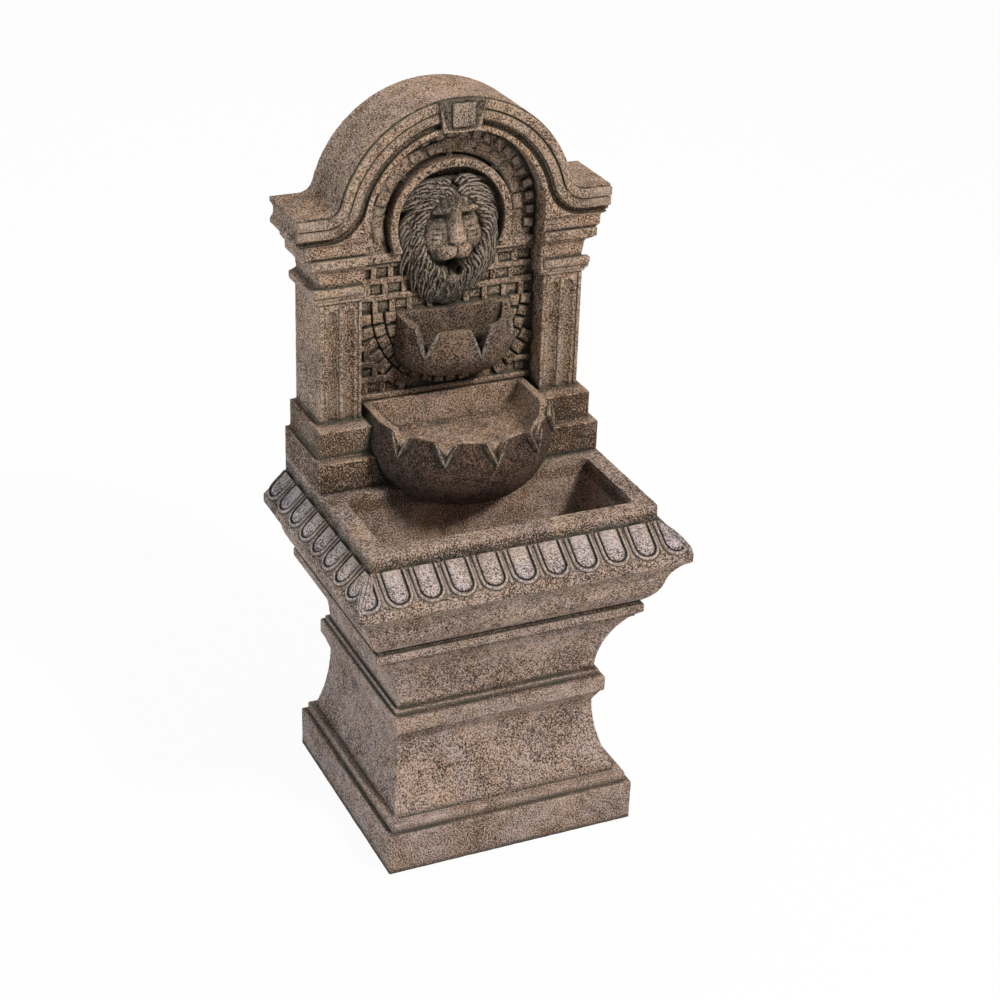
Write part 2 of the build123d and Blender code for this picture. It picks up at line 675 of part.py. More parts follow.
# Wall casing: two silhouettes crossed, then niche, bowl socket, rear space and mouldings
with BuildPart() as wall_casing:
    with BuildSketch(Plane.XZ.offset(-WALL_BACK)):
        with BuildLine():
            Polyline(
                (0, TOP_Z),
                (0, WALL_Z),
                (LOWER_BLOCK_WIDTH / 2, WALL_Z),
                (LOWER_BLOCK_WIDTH / 2, UPPER_BLOCK_Z),
                (UPPER_BLOCK_WIDTH / 2, UPPER_BLOCK_Z),
                (UPPER_BLOCK_WIDTH / 2, SHAFT_Z),
                (SHAFT_WIDTH / 2, SHAFT_Z),
            )
            capital_edge(SHAFT_WIDTH / 2, 1)
            arch_edge(0)
        make_face()
        mirror(about=Plane.YZ)
    extrude(amount=WALL_BACK - FRONT_Y)
    with BuildSketch(Plane.YZ):
        with BuildLine():
            Polyline(
                (SHAFT_FRONT, SHAFT_Z),
                (UPPER_BLOCK_FRONT, SHAFT_Z),
                (UPPER_BLOCK_FRONT, UPPER_BLOCK_Z),
                (LOWER_BLOCK_FRONT, UPPER_BLOCK_Z),
                (LOWER_BLOCK_FRONT, WALL_Z),
                (WALL_BACK, WALL_Z),
                (WALL_BACK, TOP_Z),
                (ARCH_FRONT, TOP_Z),
                (ARCH_FRONT, CORNICE_TOP),
                (SHAFT_FRONT - FRONT_SHARE * CORNICE_OUT, CORNICE_TOP),
            )
            capital_edge(SHAFT_FRONT, -FRONT_SHARE)
        make_face()
    extrude(amount=ROOM, both=True, mode=Mode.INTERSECT)
    fascia_inner = BARREL_STEP + 2 * FASCIA
    for outer, inner, depth in (
        (0.0, BARREL_STEP, BARREL_SETBACK),
        (BARREL_STEP + FASCIA, fascia_inner, FASCIA_STEP),
        (fascia_inner, fascia_inner + COVE, COVE_DEPTH),
    ):
        extrude(arch_band(FRONT_Y, outer, inner), amount=ARCH_FRONT - FRONT_Y + depth, dir=TO_BACK,
                mode=Mode.SUBTRACT)
    with BuildSketch(Plane.XZ.offset(KEYSTONE_PROUD - ARCH_FRONT)):
        with BuildLine():
            keystone_top = TOP_Z - BARREL_STEP - KEYSTONE_DROP
            Polyline(
                (KEYSTONE_TOP_WIDTH / 2, keystone_top),
                (KEYSTONE_FOOT_WIDTH / 2, keystone_top - KEYSTONE_HEIGHT),
                (-KEYSTONE_FOOT_WIDTH / 2, keystone_top - KEYSTONE_HEIGHT),
                (-KEYSTONE_TOP_WIDTH / 2, keystone_top),
            )
            ThreePointArc(
                (-KEYSTONE_TOP_WIDTH / 2, keystone_top),
                (0, keystone_top + KEYSTONE_DROP),
                (KEYSTONE_TOP_WIDTH / 2, keystone_top),
            )
        make_face()
    extrude(amount=FIELD_Y - ARCH_FRONT + KEYSTONE_PROUD, dir=TO_BACK)
    with BuildSketch(Plane.XZ.offset(-FRONT_Y)):
        with Locations((0, SHAFT_Z)):
            Rectangle(NICHE_WIDTH, SHAFT_HEIGHT, align=(Align.CENTER, Align.MIN))
    extrude(amount=FIELD_Y - FRONT_Y, dir=TO_BACK, mode=Mode.SUBTRACT)
    extrude(arched_face(FRONT_Y, NICHE_HEAD_WIDTH / 2, ASTRAGAL_Z), amount=FIELD_Y - FRONT_Y, dir=TO_BACK,
            mode=Mode.SUBTRACT)
    for side in (TO_LEFT, TO_RIGHT):
        socket = bowl_section(section_plane((0, FRONT_Y, 0), side), LOWER_SIZE, True, BEDDING_GAP)
        extrude(socket, amount=FIELD_Y - FRONT_Y, dir=TO_BACK, mode=Mode.SUBTRACT)
    extrude(arched_face(FIELD_Y, CAVITY_HALF, WALL_Z), amount=WALL_BACK - SILL_DEPTH - FIELD_Y, dir=TO_BACK,
            mode=Mode.SUBTRACT)
    extrude(arched_face(FIELD_Y, CAVITY_HALF, WALL_Z + SILL_HEIGHT), amount=WALL_BACK - FIELD_Y, dir=TO_BACK,
            mode=Mode.SUBTRACT)
    extrude(arched_face(COVER_INNER_Y, COVER_HALF, COVER_FOOT), amount=COVER_THICKNESS, dir=TO_BACK,
            mode=Mode.SUBTRACT)
    flute_radius = (FLUTE_WIDTH**2 / 4 + FLUTE_DEPTH**2) / (2 * FLUTE_DEPTH)
    flute_y = SHAFT_FRONT + FLUTE_DEPTH - flute_radius
    flute_top = ASTRAGAL_Z - FLUTE_TOP_MARGIN - flute_radius
    pilaster_x = (NICHE_WIDTH + SHAFT_WIDTH) / 4
    flute_x = [side * (pilaster_x + step * FLUTE_SPACING / 2) for side in (-1, 1) for step in (-1, 1)]
    with BuildSketch(Plane.XY.offset(SHAFT_Z)):
        with Locations(*[(x, flute_y) for x in flute_x]):
            Circle(flute_radius)
    extrude(amount=flute_top - SHAFT_Z, mode=Mode.SUBTRACT)
    with Locations(*[(x, flute_y, flute_top) for x in flute_x]):
        Sphere(flute_radius, mode=Mode.SUBTRACT)
    add(bore(dowel_places, UP, dowel_hole, dowel_depth), mode=Mode.SUBTRACT)
    add(bore([(x, FIELD_Y, z) for x, _, z in panel_screw_places], TO_FRONT, PANEL_SCREW_HOLE,
             SCREW_BITE + SCREW_GAP), mode=Mode.SUBTRACT)
    add(bore([(x, COVER_INNER_Y, z) for x, _, z in cover_screw_places], TO_FRONT, SCREW_RADIUS + SLIDE_GAP,
             SCREW_BITE + SLIDE_GAP), mode=Mode.SUBTRACT)
    grommet_z = WALL_Z + (COVER_FOOT - WALL_Z) / 2
    grommet_place = (GROMMET_X, WALL_BACK - SILL_DEPTH, grommet_z)
    add(bore([grommet_place], TO_BACK, GROMMET_RADIUS + PUSH_GAP, SILL_DEPTH), mode=Mode.SUBTRACT)
save(wall_casing, "wall_casing")

# Niche panel: brick field with sill ledge, inner arch, imposts and the voussoir ring
with BuildPart() as niche_panel:
    extrude(arched_face(FIELD_Y, CAVITY_HALF - BEDDING_GAP, WALL_Z + BEDDING_GAP), amount=PANEL_THICKNESS,
            dir=TO_BACK)
    ring_z = ARCH_Z - RING_DROP
    with BuildSketch(Plane.XZ.offset(-FIELD_Y)):
        with Locations((0, ring_z)):
            Circle(RING_RADIUS)
            Circle(RING_RADIUS - RING_BAND, mode=Mode.SUBTRACT)
        with Locations((0, ring_z - RING_FOOT)):
            Rectangle(ROOM, ROOM, align=(Align.CENTER, Align.MAX), mode=Mode.SUBTRACT)
    extrude(amount=RING_PROUD)
    voussoir_inner = RING_RADIUS + VOUSSOIR_GAP
    voussoir_outer = NICHE_HEAD_WIDTH / 2 - BEDDING_GAP
    with BuildSketch(Plane.XZ.offset(-FIELD_Y)):
        with Locations((0, ARCH_Z)):
            Circle(voussoir_outer)
        with Locations((0, ring_z)):
            Circle(voussoir_inner, mode=Mode.SUBTRACT)
        with Locations((0, ring_z - RING_FOOT)):
            Rectangle(ROOM, ROOM, align=(Align.CENTER, Align.MAX), mode=Mode.SUBTRACT)
    extrude(amount=VOUSSOIR_PROUD)
    impost_inner = sqrt((RING_RADIUS - RING_BAND) ** 2 - RING_FOOT**2)
    with BuildSketch(Plane.XZ.offset(-FIELD_Y)):
        for side in (-1, 1):
            with Locations((side * (impost_inner + voussoir_outer) / 2, ring_z - RING_FOOT)):
                Rectangle(voussoir_outer - impost_inner, IMPOST_HEIGHT, align=(Align.CENTER, Align.MAX))
    extrude(amount=IMPOST_PROUD)
    with BuildSketch(Plane.XZ.offset(-FIELD_Y)):
        with Locations((0, LOWER_RIM_Z + BEDDING_GAP)):
            Rectangle(NICHE_WIDTH - 2 * BEDDING_GAP, LEDGE_HEIGHT, align=(Align.CENTER, Align.MIN))
    extrude(amount=LEDGE_PROUD)
    every_panel_screw = panel_screw_places + lower_screw_places + upper_screw_places + mask_screw_places
    add(bore(every_panel_screw, TO_FRONT, PANEL_SCREW_HOLE, PANEL_THICKNESS), mode=Mode.SUBTRACT)
    add(bore([(0, PANEL_BACK, SPOUT_Z)], TO_FRONT, HOSE_BORE + PUSH_GAP, PANEL_THICKNESS), mode=Mode.SUBTRACT)
save(niche_panel, "niche_panel")

# Lower bowl: half-round front with straight sides back to the panel
with BuildPart() as lower_bowl:
    lower_centre = (0, LOWER_AXIS_Y, 0)
    lower_section = bowl_section(section_plane(lower_centre, TO_RIGHT), LOWER_SIZE, False)
    revolve(lower_section, axis=Axis(lower_centre, DOWN), revolution_arc=180)
    for side in (TO_LEFT, TO_RIGHT):
        extrude(bowl_section(section_plane(lower_centre, side), LOWER_SIZE, False),
                amount=FIELD_Y - LOWER_AXIS_Y, dir=TO_BACK)
        extrude(bowl_section(section_plane((0, FIELD_Y, 0), side), LOWER_SIZE, True), amount=LOWER_LIP,
                dir=TO_FRONT)
    with BuildSketch(Plane.XY.offset(WALL_Z + BEDDING_GAP)):
        with Locations((0, TROUGH_BACK_Y - BEDDING_GAP)):
            Rectangle(ROOM, ROOM, align=(Align.CENTER, Align.MIN))
    extrude(amount=-LOWER_DEPTH, mode=Mode.SUBTRACT)
    for angle in LOWER_NOTCH_ANGLES:
        plane = notch_plane(0, LOWER_AXIS_Y, angle, LOWER_RADIUS / 2)
        extrude(notch_face(plane, LOWER_RIM_Z, LOWER_NOTCH_WIDTH, LOWER_NOTCH_DEPTH), amount=LOWER_RADIUS,
                mode=Mode.SUBTRACT)
    add(bore([(x, FIELD_Y, z) for x, _, z in lower_screw_places], TO_FRONT, PANEL_SCREW_HOLE,
             SCREW_BITE + SCREW_GAP), mode=Mode.SUBTRACT)
save(lower_bowl, "lower_bowl")

# Upper bowl: flat front petal between two rounded corners
with BuildPart() as upper_bowl:
    left_corner = (UPPER_OFFSET - UPPER_FLAT / 2, FIELD_Y, 0)
    right_corner = (UPPER_OFFSET + UPPER_FLAT / 2, FIELD_Y, 0)
    for corner, turn in ((left_corner, DOWN), (right_corner, UP)):
        revolve(bowl_section(section_plane(corner, TO_FRONT), UPPER_SIZE, False), axis=Axis(corner, turn),
                revolution_arc=90)
    extrude(bowl_section(section_plane(left_corner, TO_FRONT), UPPER_SIZE, False), amount=UPPER_FLAT,
            dir=TO_RIGHT)
    for corner, side in ((left_corner, TO_LEFT), (right_corner, TO_RIGHT)):
        extrude(bowl_section(section_plane(corner, side), UPPER_SIZE, True), amount=UPPER_LIP, dir=TO_FRONT)
    with BuildSketch(Plane.XZ.offset(-FIELD_Y)):
        with Locations((UPPER_OFFSET, UPPER_RIM_Z)):
            Rectangle(UPPER_FLAT, UPPER_DEPTH, align=(Align.CENTER, Align.MAX))
    extrude(amount=UPPER_LIP)
    for side, angle, depth in UPPER_NOTCHES:
        corner_x = UPPER_OFFSET + side * UPPER_FLAT / 2
        plane = notch_plane(corner_x, FIELD_Y, side * angle, UPPER_RADIUS / 2)
        extrude(notch_face(plane, UPPER_RIM_Z, UPPER_NOTCH_WIDTH, depth), amount=UPPER_RADIUS,
                mode=Mode.SUBTRACT)
    add(bore([(x, FIELD_Y, z) for x, _, z in upper_screw_places], TO_FRONT, PANEL_SCREW_HOLE,
             SCREW_BITE + SCREW_GAP), mode=Mode.SUBTRACT)
save(upper_bowl, "upper_bowl")

# Lion mask: mane, face, muzzle and beard as rounded ovals, bored for the spout
with BuildPart() as lion_mask:
    for half_width, half_height, rise, relief in (
        (MANE_HALF_WIDTH, MANE_HALF_HEIGHT, MANE_RISE, MANE_RELIEF),
        (FACE_HALF_WIDTH, FACE_HALF_HEIGHT, FACE_RISE, FACE_RELIEF),
        (MUZZLE_HALF_WIDTH, MUZZLE_HALF_HEIGHT, MUZZLE_RISE, MUZZLE_RELIEF),
        (BEARD_HALF_WIDTH, BEARD_HALF_HEIGHT, -BEARD_DROP, BEARD_RELIEF),
    ):
        add(rounded_oval(half_width, half_height, rise, relief))
    spout_tip = FIELD_Y - MUZZLE_RELIEF + SPOUT_RECESS
    add(bore([(0, FIELD_Y, SPOUT_Z)], TO_FRONT, HOSE_BORE + PUSH_GAP, MUZZLE_RELIEF), mode=Mode.SUBTRACT)
    add(bore([(x, FIELD_Y, z) for x, _, z in mask_screw_places], TO_FRONT, PANEL_SCREW_HOLE,
             MASK_SCREW_BITE + SCREW_GAP), mode=Mode.SUBTRACT)
save(lion_mask, "lion_mask")

# Rear cover: round-headed plate in the rebate of the wall
with BuildPart() as rear_cover:
    cover_face = arched_face(COVER_INNER_Y, COVER_HALF - COVER_GAP, COVER_FOOT + COVER_GAP)
    extrude(cover_face, amount=COVER_THICKNESS, dir=TO_BACK)
    add(bore(cover_screw_places, TO_FRONT, SCREW_RADIUS + SCREW_GAP, COVER_THICKNESS), mode=Mode.SUBTRACT)
save(rear_cover, "rear_cover")

# Bolts and washers between pedestal and basin
with BuildPart() as pedestal_bolts:
    for x, y in pedestal_bolt_xy:
        head_z = BASIN_Z - PEDESTAL_DECK - WASHER_THICKNESS
        with BuildSketch(Plane.XY.offset(head_z - BOLT_HEAD_HEIGHT)):
            with Locations((x, y)):
                RegularPolygon(BOLT_HEAD_FLATS / 2, 6, major_radius=False)
        extrude(amount=BOLT_HEAD_HEIGHT)
        with BuildSketch(Plane.XY.offset(head_z)):
            with Locations((x, y)):
                Circle(BOLT_RADIUS)
        extrude(amount=WASHER_THICKNESS + PEDESTAL_DECK + BOLT_BITE)
save(pedestal_bolts, "pedestal_bolts")

with BuildPart() as pedestal_washers:
    with BuildSketch(Plane.XY.offset(BASIN_Z - PEDESTAL_DECK - WASHER_THICKNESS)):
        with Locations(*pedestal_bolt_xy):
            Circle(WASHER_RADIUS)
            Circle(BOLT_RADIUS + SCREW_GAP, mode=Mode.SUBTRACT)
    extrude(amount=WASHER_THICKNESS)
save(pedestal_washers, "pedestal_washers")

# Dowels that key the wall to the basin
with BuildPart() as wall_dowels:
    with BuildSketch(Plane.XY.offset(WALL_Z - DOWEL_LENGTH / 2)):
        with Locations(*dowel_xy):
            Circle(DOWEL_RADIUS)
    extrude(amount=DOWEL_LENGTH)
save(wall_dowels, "wall_dowels")

# Screws, each group with the piece that it holds
through_panel = PANEL_THICKNESS + SCREW_BITE
save(screw_group(panel_screw_places, through_panel, TO_FRONT, SCREW_HEAD_HEIGHT), "panel_screws")
save(screw_group(lower_screw_places, through_panel, TO_FRONT, SCREW_HEAD_HEIGHT), "lower_bowl_screws")
save(screw_group(upper_screw_places, through_panel, TO_FRONT, SCREW_HEAD_HEIGHT), "upper_bowl_screws")
save(screw_group(mask_screw_places, PANEL_THICKNESS + MASK_SCREW_BITE, TO_FRONT, SCREW_HEAD_HEIGHT),
     "mask_screws")
save(screw_group(cover_screw_places, COVER_THICKNESS + SCREW_BITE, TO_FRONT, SCREW_HEAD_HEIGHT),
     "rear_cover_screws")


def pump_face(x, margin):
    """Give the pump's upright cross-section at x, a margin inside its outside."""
    rounding = max(PUMP_ROUNDING - margin, 1)
    with BuildSketch(Plane.YZ.offset(x)) as face:
        with Locations((PUMP_Y, PUMP_Z + PUMP_HEIGHT / 2)):
            RectangleRounded(PUMP_WIDTH - 2 * margin, PUMP_HEIGHT - 2 * margin, rounding)
    return face.sketch


def pump_disc(x, radius):
    """Give a round face on the rotor's axis at x."""
    with BuildSketch(Plane.YZ.offset(x)) as face:
        with Locations((PUMP_Y, AXIS_Z)):
            Circle(radius)
    return face.sketch


cup_xy = [
    ((PUMP_BACK_X + VOLUTE_FRONT_X) / 2 + sx * CUP_SPAN_X / 2, PUMP_Y + sy * CUP_SPAN_Y / 2)
    for sx in (-1, 1)
    for sy in (-1, 1)
]

# Pump housing: motor box, rotor well and volute in one moulding
with BuildPart() as pump_housing:
    extrude(pump_face(PUMP_BACK_X, 0), amount=PUMP_LENGTH + VOLUTE_LENGTH)
    extrude(pump_face(PUMP_BACK_X, PUMP_WALL), amount=PUMP_LENGTH - VOLUTE_FLOOR, mode=Mode.SUBTRACT)
    extrude(pump_disc(VOLUTE_BACK_X, WELL_RADIUS + WELL_WALL), amount=-WELL_LENGTH - WELL_END)
    extrude(pump_disc(VOLUTE_FRONT_X, WELL_RADIUS), amount=-VOLUTE_LENGTH - WELL_LENGTH, mode=Mode.SUBTRACT)
    extrude(pump_disc(VOLUTE_FRONT_X, VOLUTE_RADIUS), amount=-VOLUTE_LENGTH, mode=Mode.SUBTRACT)
    extrude(pump_disc(WELL_BACK_X, BUSH_RADIUS + PUSH_GAP), amount=-BUSH_LENGTH, mode=Mode.SUBTRACT)
    add(bore([(0, HOSE_Y, AXIS_Z)], UP, SPIGOT_BORE, PUMP_HEIGHT), mode=Mode.SUBTRACT)
    add(bore([(0, HOSE_Y, PUMP_TOP)], DOWN, HOSE_BORE + PUSH_GAP, SPIGOT_STUB), mode=Mode.SUBTRACT)
    add(bore([(x, y, PUMP_Z) for x, y in cup_xy], UP, CUP_STEM_RADIUS + PUSH_GAP, CUP_STEM + PUSH_GAP),
        mode=Mode.SUBTRACT)
save(pump_housing, "pump_housing")

# Back plate that closes the motor box
with BuildPart() as pump_back_plate:
    extrude(pump_face(PUMP_BACK_X, PUMP_WALL + PUSH_GAP), amount=BACK_PLATE)
save(pump_back_plate, "pump_back_plate")

# Stator: laminated yoke over the rotor well, with its coil
core_x = (WELL_BACK_X + VOLUTE_BACK_X) / 2 - CORE_STACK / 2
core_half = WELL_RADIUS + WELL_WALL + PUSH_GAP + CORE_LEG
core_top = AXIS_Z + CORE_HEIGHT - CORE_RISE
with BuildPart() as stator_core:
    with BuildSketch(Plane.YZ.offset(core_x)):
        with Locations((PUMP_Y, core_top)):
            Rectangle(2 * core_half, CORE_HEIGHT, align=(Align.CENTER, Align.MAX))
        with Locations((PUMP_Y, core_top - CORE_LEG)):
            Rectangle(2 * (core_half - CORE_LEG), CORE_HEIGHT, align=(Align.CENTER, Align.MAX),
                      mode=Mode.SUBTRACT)
    extrude(amount=CORE_STACK)
save(stator_core, "stator_core")

coil_window = (CORE_STACK + 2 * PUSH_GAP, CORE_LEG + 2 * PUSH_GAP)
with BuildPart() as stator_coil:
    with BuildSketch(Plane.XZ.offset(COIL_WIDTH / 2 - PUMP_Y)):
        with Locations((core_x + CORE_STACK / 2, core_top - CORE_LEG / 2)):
            RectangleRounded(coil_window[0] + 2 * COIL_SIDE, coil_window[1] + 2 * COIL_SIDE, COIL_SIDE)
            Rectangle(*coil_window, mode=Mode.SUBTRACT)
    extrude(amount=COIL_WIDTH, dir=TO_BACK)
save(stator_coil, "stator_coil")

# Rotor: magnet and impeller turn on the fixed shaft between two bushes
with BuildPart() as rotor_magnet:
    extrude(pump_disc(WELL_BACK_X + ROTOR_END_GAP, MAGNET_RADIUS), amount=MAGNET_LENGTH)
    extrude(pump_disc(WELL_BACK_X, SHAFT_RADIUS + RUNNING_GAP), amount=ROOM, mode=Mode.SUBTRACT)
save(rotor_magnet, "rotor_magnet")

disc_x = VOLUTE_BACK_X + ROTOR_END_GAP
hub_back_x = WELL_BACK_X + ROTOR_END_GAP + MAGNET_LENGTH
hub_front_x = disc_x + IMPELLER_DISC + BLADE_HEIGHT
with BuildPart() as impeller:
    extrude(pump_disc(hub_back_x, IMPELLER_HUB_RADIUS), amount=hub_front_x - hub_back_x)
    extrude(pump_disc(disc_x, IMPELLER_RADIUS), amount=IMPELLER_DISC)
    blade_plane = Plane(origin=(disc_x, PUMP_Y, AXIS_Z), x_dir=TO_BACK, z_dir=TO_RIGHT)
    blade_root = IMPELLER_HUB_RADIUS / 2
    with BuildSketch(blade_plane):
        with PolarLocations(0, BLADE_COUNT):
            with Locations((blade_root, 0)):
                Rectangle(IMPELLER_RADIUS - blade_root, BLADE_THICKNESS, align=(Align.MIN, Align.CENTER))
    extrude(amount=IMPELLER_DISC + BLADE_HEIGHT)
    extrude(pump_disc(WELL_BACK_X, SHAFT_RADIUS + RUNNING_GAP), amount=ROOM, mode=Mode.SUBTRACT)
save(impeller, "impeller")

shaft_back_x = WELL_BACK_X - BUSH_LENGTH
shaft_length = COVER_FRONT_X - shaft_back_x
with BuildPart() as impeller_shaft:
    extrude(pump_disc(shaft_back_x, SHAFT_RADIUS), amount=shaft_length)
save(impeller_shaft, "impeller_shaft")

with BuildPart() as shaft_bushes:
    for bush_x in (shaft_back_x, COVER_FRONT_X - BUSH_LENGTH):
        extrude(pump_disc(bush_x, BUSH_RADIUS), amount=BUSH_LENGTH)
        extrude(pump_disc(bush_x, SHAFT_RADIUS + RUNNING_GAP), amount=BUSH_LENGTH, mode=Mode.SUBTRACT)
save(shaft_bushes, "shaft_bushes")

# Volute cover with its seal, inlets and front bush seat
cover_margin = STRAINER_WALL + PUSH_GAP
with BuildPart() as volute_cover:
    extrude(pump_face(VOLUTE_FRONT_X, cover_margin), amount=COVER_PLATE)
    extrude(pump_disc(VOLUTE_FRONT_X, BUSH_RADIUS + PUSH_GAP), amount=COVER_PLATE, mode=Mode.SUBTRACT)
    inlet_plane = Plane(origin=(VOLUTE_FRONT_X, PUMP_Y, AXIS_Z), x_dir=TO_BACK, z_dir=TO_RIGHT)
    with BuildSketch(inlet_plane):
        with PolarLocations(INLET_PITCH, INLET_COUNT):
            Circle(INLET_RADIUS)
    extrude(amount=COVER_PLATE, mode=Mode.SUBTRACT)
save(volute_cover, "volute_cover")

# Strainer that pushes over the cover, with the slot of the flow slider
slider_z = PUMP_Z + PUMP_HEIGHT / 2
slider_slot = SLIDER_STEM + 2 * (SLIDER_TRAVEL + SLIDE_GAP)
with BuildPart() as strainer_cover:
    strainer_reach = STRAINER_FRONT_X - VOLUTE_FRONT_X
    extrude(pump_face(VOLUTE_FRONT_X + PUSH_GAP, 0), amount=strainer_reach - PUSH_GAP)
    extrude(pump_face(VOLUTE_FRONT_X, STRAINER_WALL), amount=strainer_reach - STRAINER_WALL,
            mode=Mode.SUBTRACT)
    with BuildSketch(Plane.YZ.offset(STRAINER_FRONT_X)):
        slot_row = (STRAINER_SLOT_COUNT - 1) / 2
        for slot in range(STRAINER_SLOT_COUNT):
            shift = (slot - slot_row) * STRAINER_SLOT_PITCH
            if shift:
                with Locations((PUMP_Y + shift, slider_z)):
                    SlotOverall(STRAINER_SLOT_LENGTH, STRAINER_SLOT, rotation=90)
        with Locations((PUMP_Y, slider_z)):
            Rectangle(SLIDER_STEM + 2 * SLIDE_GAP, slider_slot)
    extrude(amount=-STRAINER_WALL, mode=Mode.SUBTRACT)
save(strainer_cover, "strainer_cover")

# Flow slider: plate inside the strainer, stem through its slot, knob outside
with BuildPart() as flow_slider:
    plate_x = STRAINER_FRONT_X - STRAINER_WALL - SLIDE_GAP - SLIDER_THICKNESS
    knob_x = STRAINER_FRONT_X + SLIDE_GAP
    with BuildSketch(Plane.YZ.offset(plate_x)):
        with Locations((PUMP_Y, slider_z)):
            Rectangle(SLIDER_PLATE, SLIDER_PLATE)
    extrude(amount=SLIDER_THICKNESS)
    with BuildSketch(Plane.YZ.offset(plate_x)):
        with Locations((PUMP_Y, slider_z)):
            Rectangle(SLIDER_STEM, SLIDER_STEM)
    extrude(amount=knob_x - plate_x)
    with BuildSketch(Plane.YZ.offset(knob_x)):
        with Locations((PUMP_Y, slider_z)):
            RectangleRounded(SLIDER_KNOB, SLIDER_KNOB, SLIDER_STEM / 2)
    extrude(amount=SLIDER_THICKNESS)
save(flow_slider, "flow_slider")

# Suction cups under the pump
with BuildPart() as suction_cups:
    for x, y in cup_xy:
        with BuildSketch(Plane.XZ.offset(-y)):
            with BuildLine():
                Polyline(
                    (x, FLOOR_Z),
                    (x + CUP_RADIUS, FLOOR_Z),
                    (x + CUP_NECK_RADIUS, FLOOR_Z + CUP_HEIGHT / 2),
                    (x + CUP_NECK_RADIUS, PUMP_Z),
                    (x + CUP_STEM_RADIUS, PUMP_Z),
                    (x + CUP_STEM_RADIUS, PUMP_Z + CUP_STEM),
                    (x, PUMP_Z + CUP_STEM),
                    close=True,
                )
            make_face()
        revolve(axis=Axis((x, y, 0), UP))
save(suction_cups, "suction_cups")


def tube(bottom, top, radius, hole):
    """Give an upright tube on the riser's axis."""
    with BuildPart() as pipe:
        with BuildSketch(Plane.XY.offset(bottom)):
            with Locations((0, HOSE_Y)):
                Circle(radius)
                Circle(hole, mode=Mode.SUBTRACT)
        extrude(amount=top - bottom)
    return pipe.part


# Outlet spigot on the pump, riser hose and its clamps
grip_radius = HOSE_BORE - PUSH_GAP
with BuildPart() as outlet_spigot:
    add(tube(PUMP_TOP - SPIGOT_STUB, PUMP_TOP + SPIGOT_FLANGE + SPIGOT_GRIP, grip_radius, SPIGOT_BORE))
    add(tube(PUMP_TOP, PUMP_TOP + SPIGOT_FLANGE, SPIGOT_FLANGE_RADIUS, SPIGOT_BORE))
save(outlet_spigot, "outlet_spigot")

with BuildPart() as riser_hose:
    add(tube(HOSE_FOOT, HOSE_TOP, HOSE_RADIUS, HOSE_BORE))
save(riser_hose, "riser_hose")

clamp_hole = HOSE_RADIUS + PUSH_GAP
clamp_radius = clamp_hole + CLAMP_THICKNESS
with BuildPart() as hose_clamps:
    for clamp_z in (HOSE_FOOT + SPIGOT_GRIP / 2, HOSE_TOP - SPIGOT_GRIP / 2):
        with BuildSketch(Plane.XY.offset(clamp_z - CLAMP_WIDTH / 2)):
            with Locations((0, HOSE_Y)):
                Circle(clamp_radius)
                with Locations((clamp_hole, 0)):
                    Rectangle(CLAMP_EAR, CLAMP_EAR, align=(Align.MIN, Align.CENTER))
                Circle(clamp_hole, mode=Mode.SUBTRACT)
        extrude(amount=CLAMP_WIDTH)
save(hose_clamps, "hose_clamps")

# Saddles that hold the hose to the back of the panel
with BuildPart() as hose_saddles:
    for rise in SADDLE_RISES:
        with BuildSketch(Plane.XY.offset(WALL_Z + rise)):
            with Locations((0, HOSE_Y)):
                Circle(clamp_hole + SADDLE_THICKNESS)
            with Locations((0, PANEL_BACK)):
                Rectangle(SADDLE_BASE, SADDLE_THICKNESS, align=(Align.CENTER, Align.MIN))
                Rectangle(clamp_hole, HOSE_Y - PANEL_BACK, align=(Align.CENTER, Align.MIN))
            with Locations((0, HOSE_Y)):
                Circle(clamp_hole, mode=Mode.SUBTRACT)
        extrude(amount=SADDLE_WIDTH)
save(hose_saddles, "hose_saddles")

# Spout elbow: from the hose up, round and out through the lion's mouth
bend_z = SPOUT_Z - ELBOW_BEND
with BuildPart() as spout_elbow:
    with BuildLine() as run:
        Line((0, HOSE_Y, HOSE_TOP - SPIGOT_GRIP), (0, HOSE_Y, bend_z))
        RadiusArc((0, HOSE_Y, bend_z), (0, HOSE_Y - ELBOW_BEND, SPOUT_Z), ELBOW_BEND)
        Line((0, HOSE_Y - ELBOW_BEND, SPOUT_Z), (0, spout_tip, SPOUT_Z))
    with BuildSketch(Plane(origin=(0, HOSE_Y, HOSE_TOP - SPIGOT_GRIP), z_dir=UP)):
        Circle(grip_radius)
        Circle(SPIGOT_BORE, mode=Mode.SUBTRACT)
    sweep(path=run.line)
    add(tube(HOSE_TOP, HOSE_TOP + ELBOW_COLLAR, HOSE_RADIUS, SPIGOT_BORE))
save(spout_elbow, "spout_elbow")

with BuildPart() as spout_nut:
    with BuildSketch(Plane.XZ.offset(-PANEL_BACK)):
        with Locations((0, SPOUT_Z)):
            RegularPolygon(NUT_FLATS / 2, 6, major_radius=False)
            Circle(HOSE_BORE, mode=Mode.SUBTRACT)
    extrude(amount=NUT_THICKNESS, dir=TO_BACK)
save(spout_nut, "spout_nut")

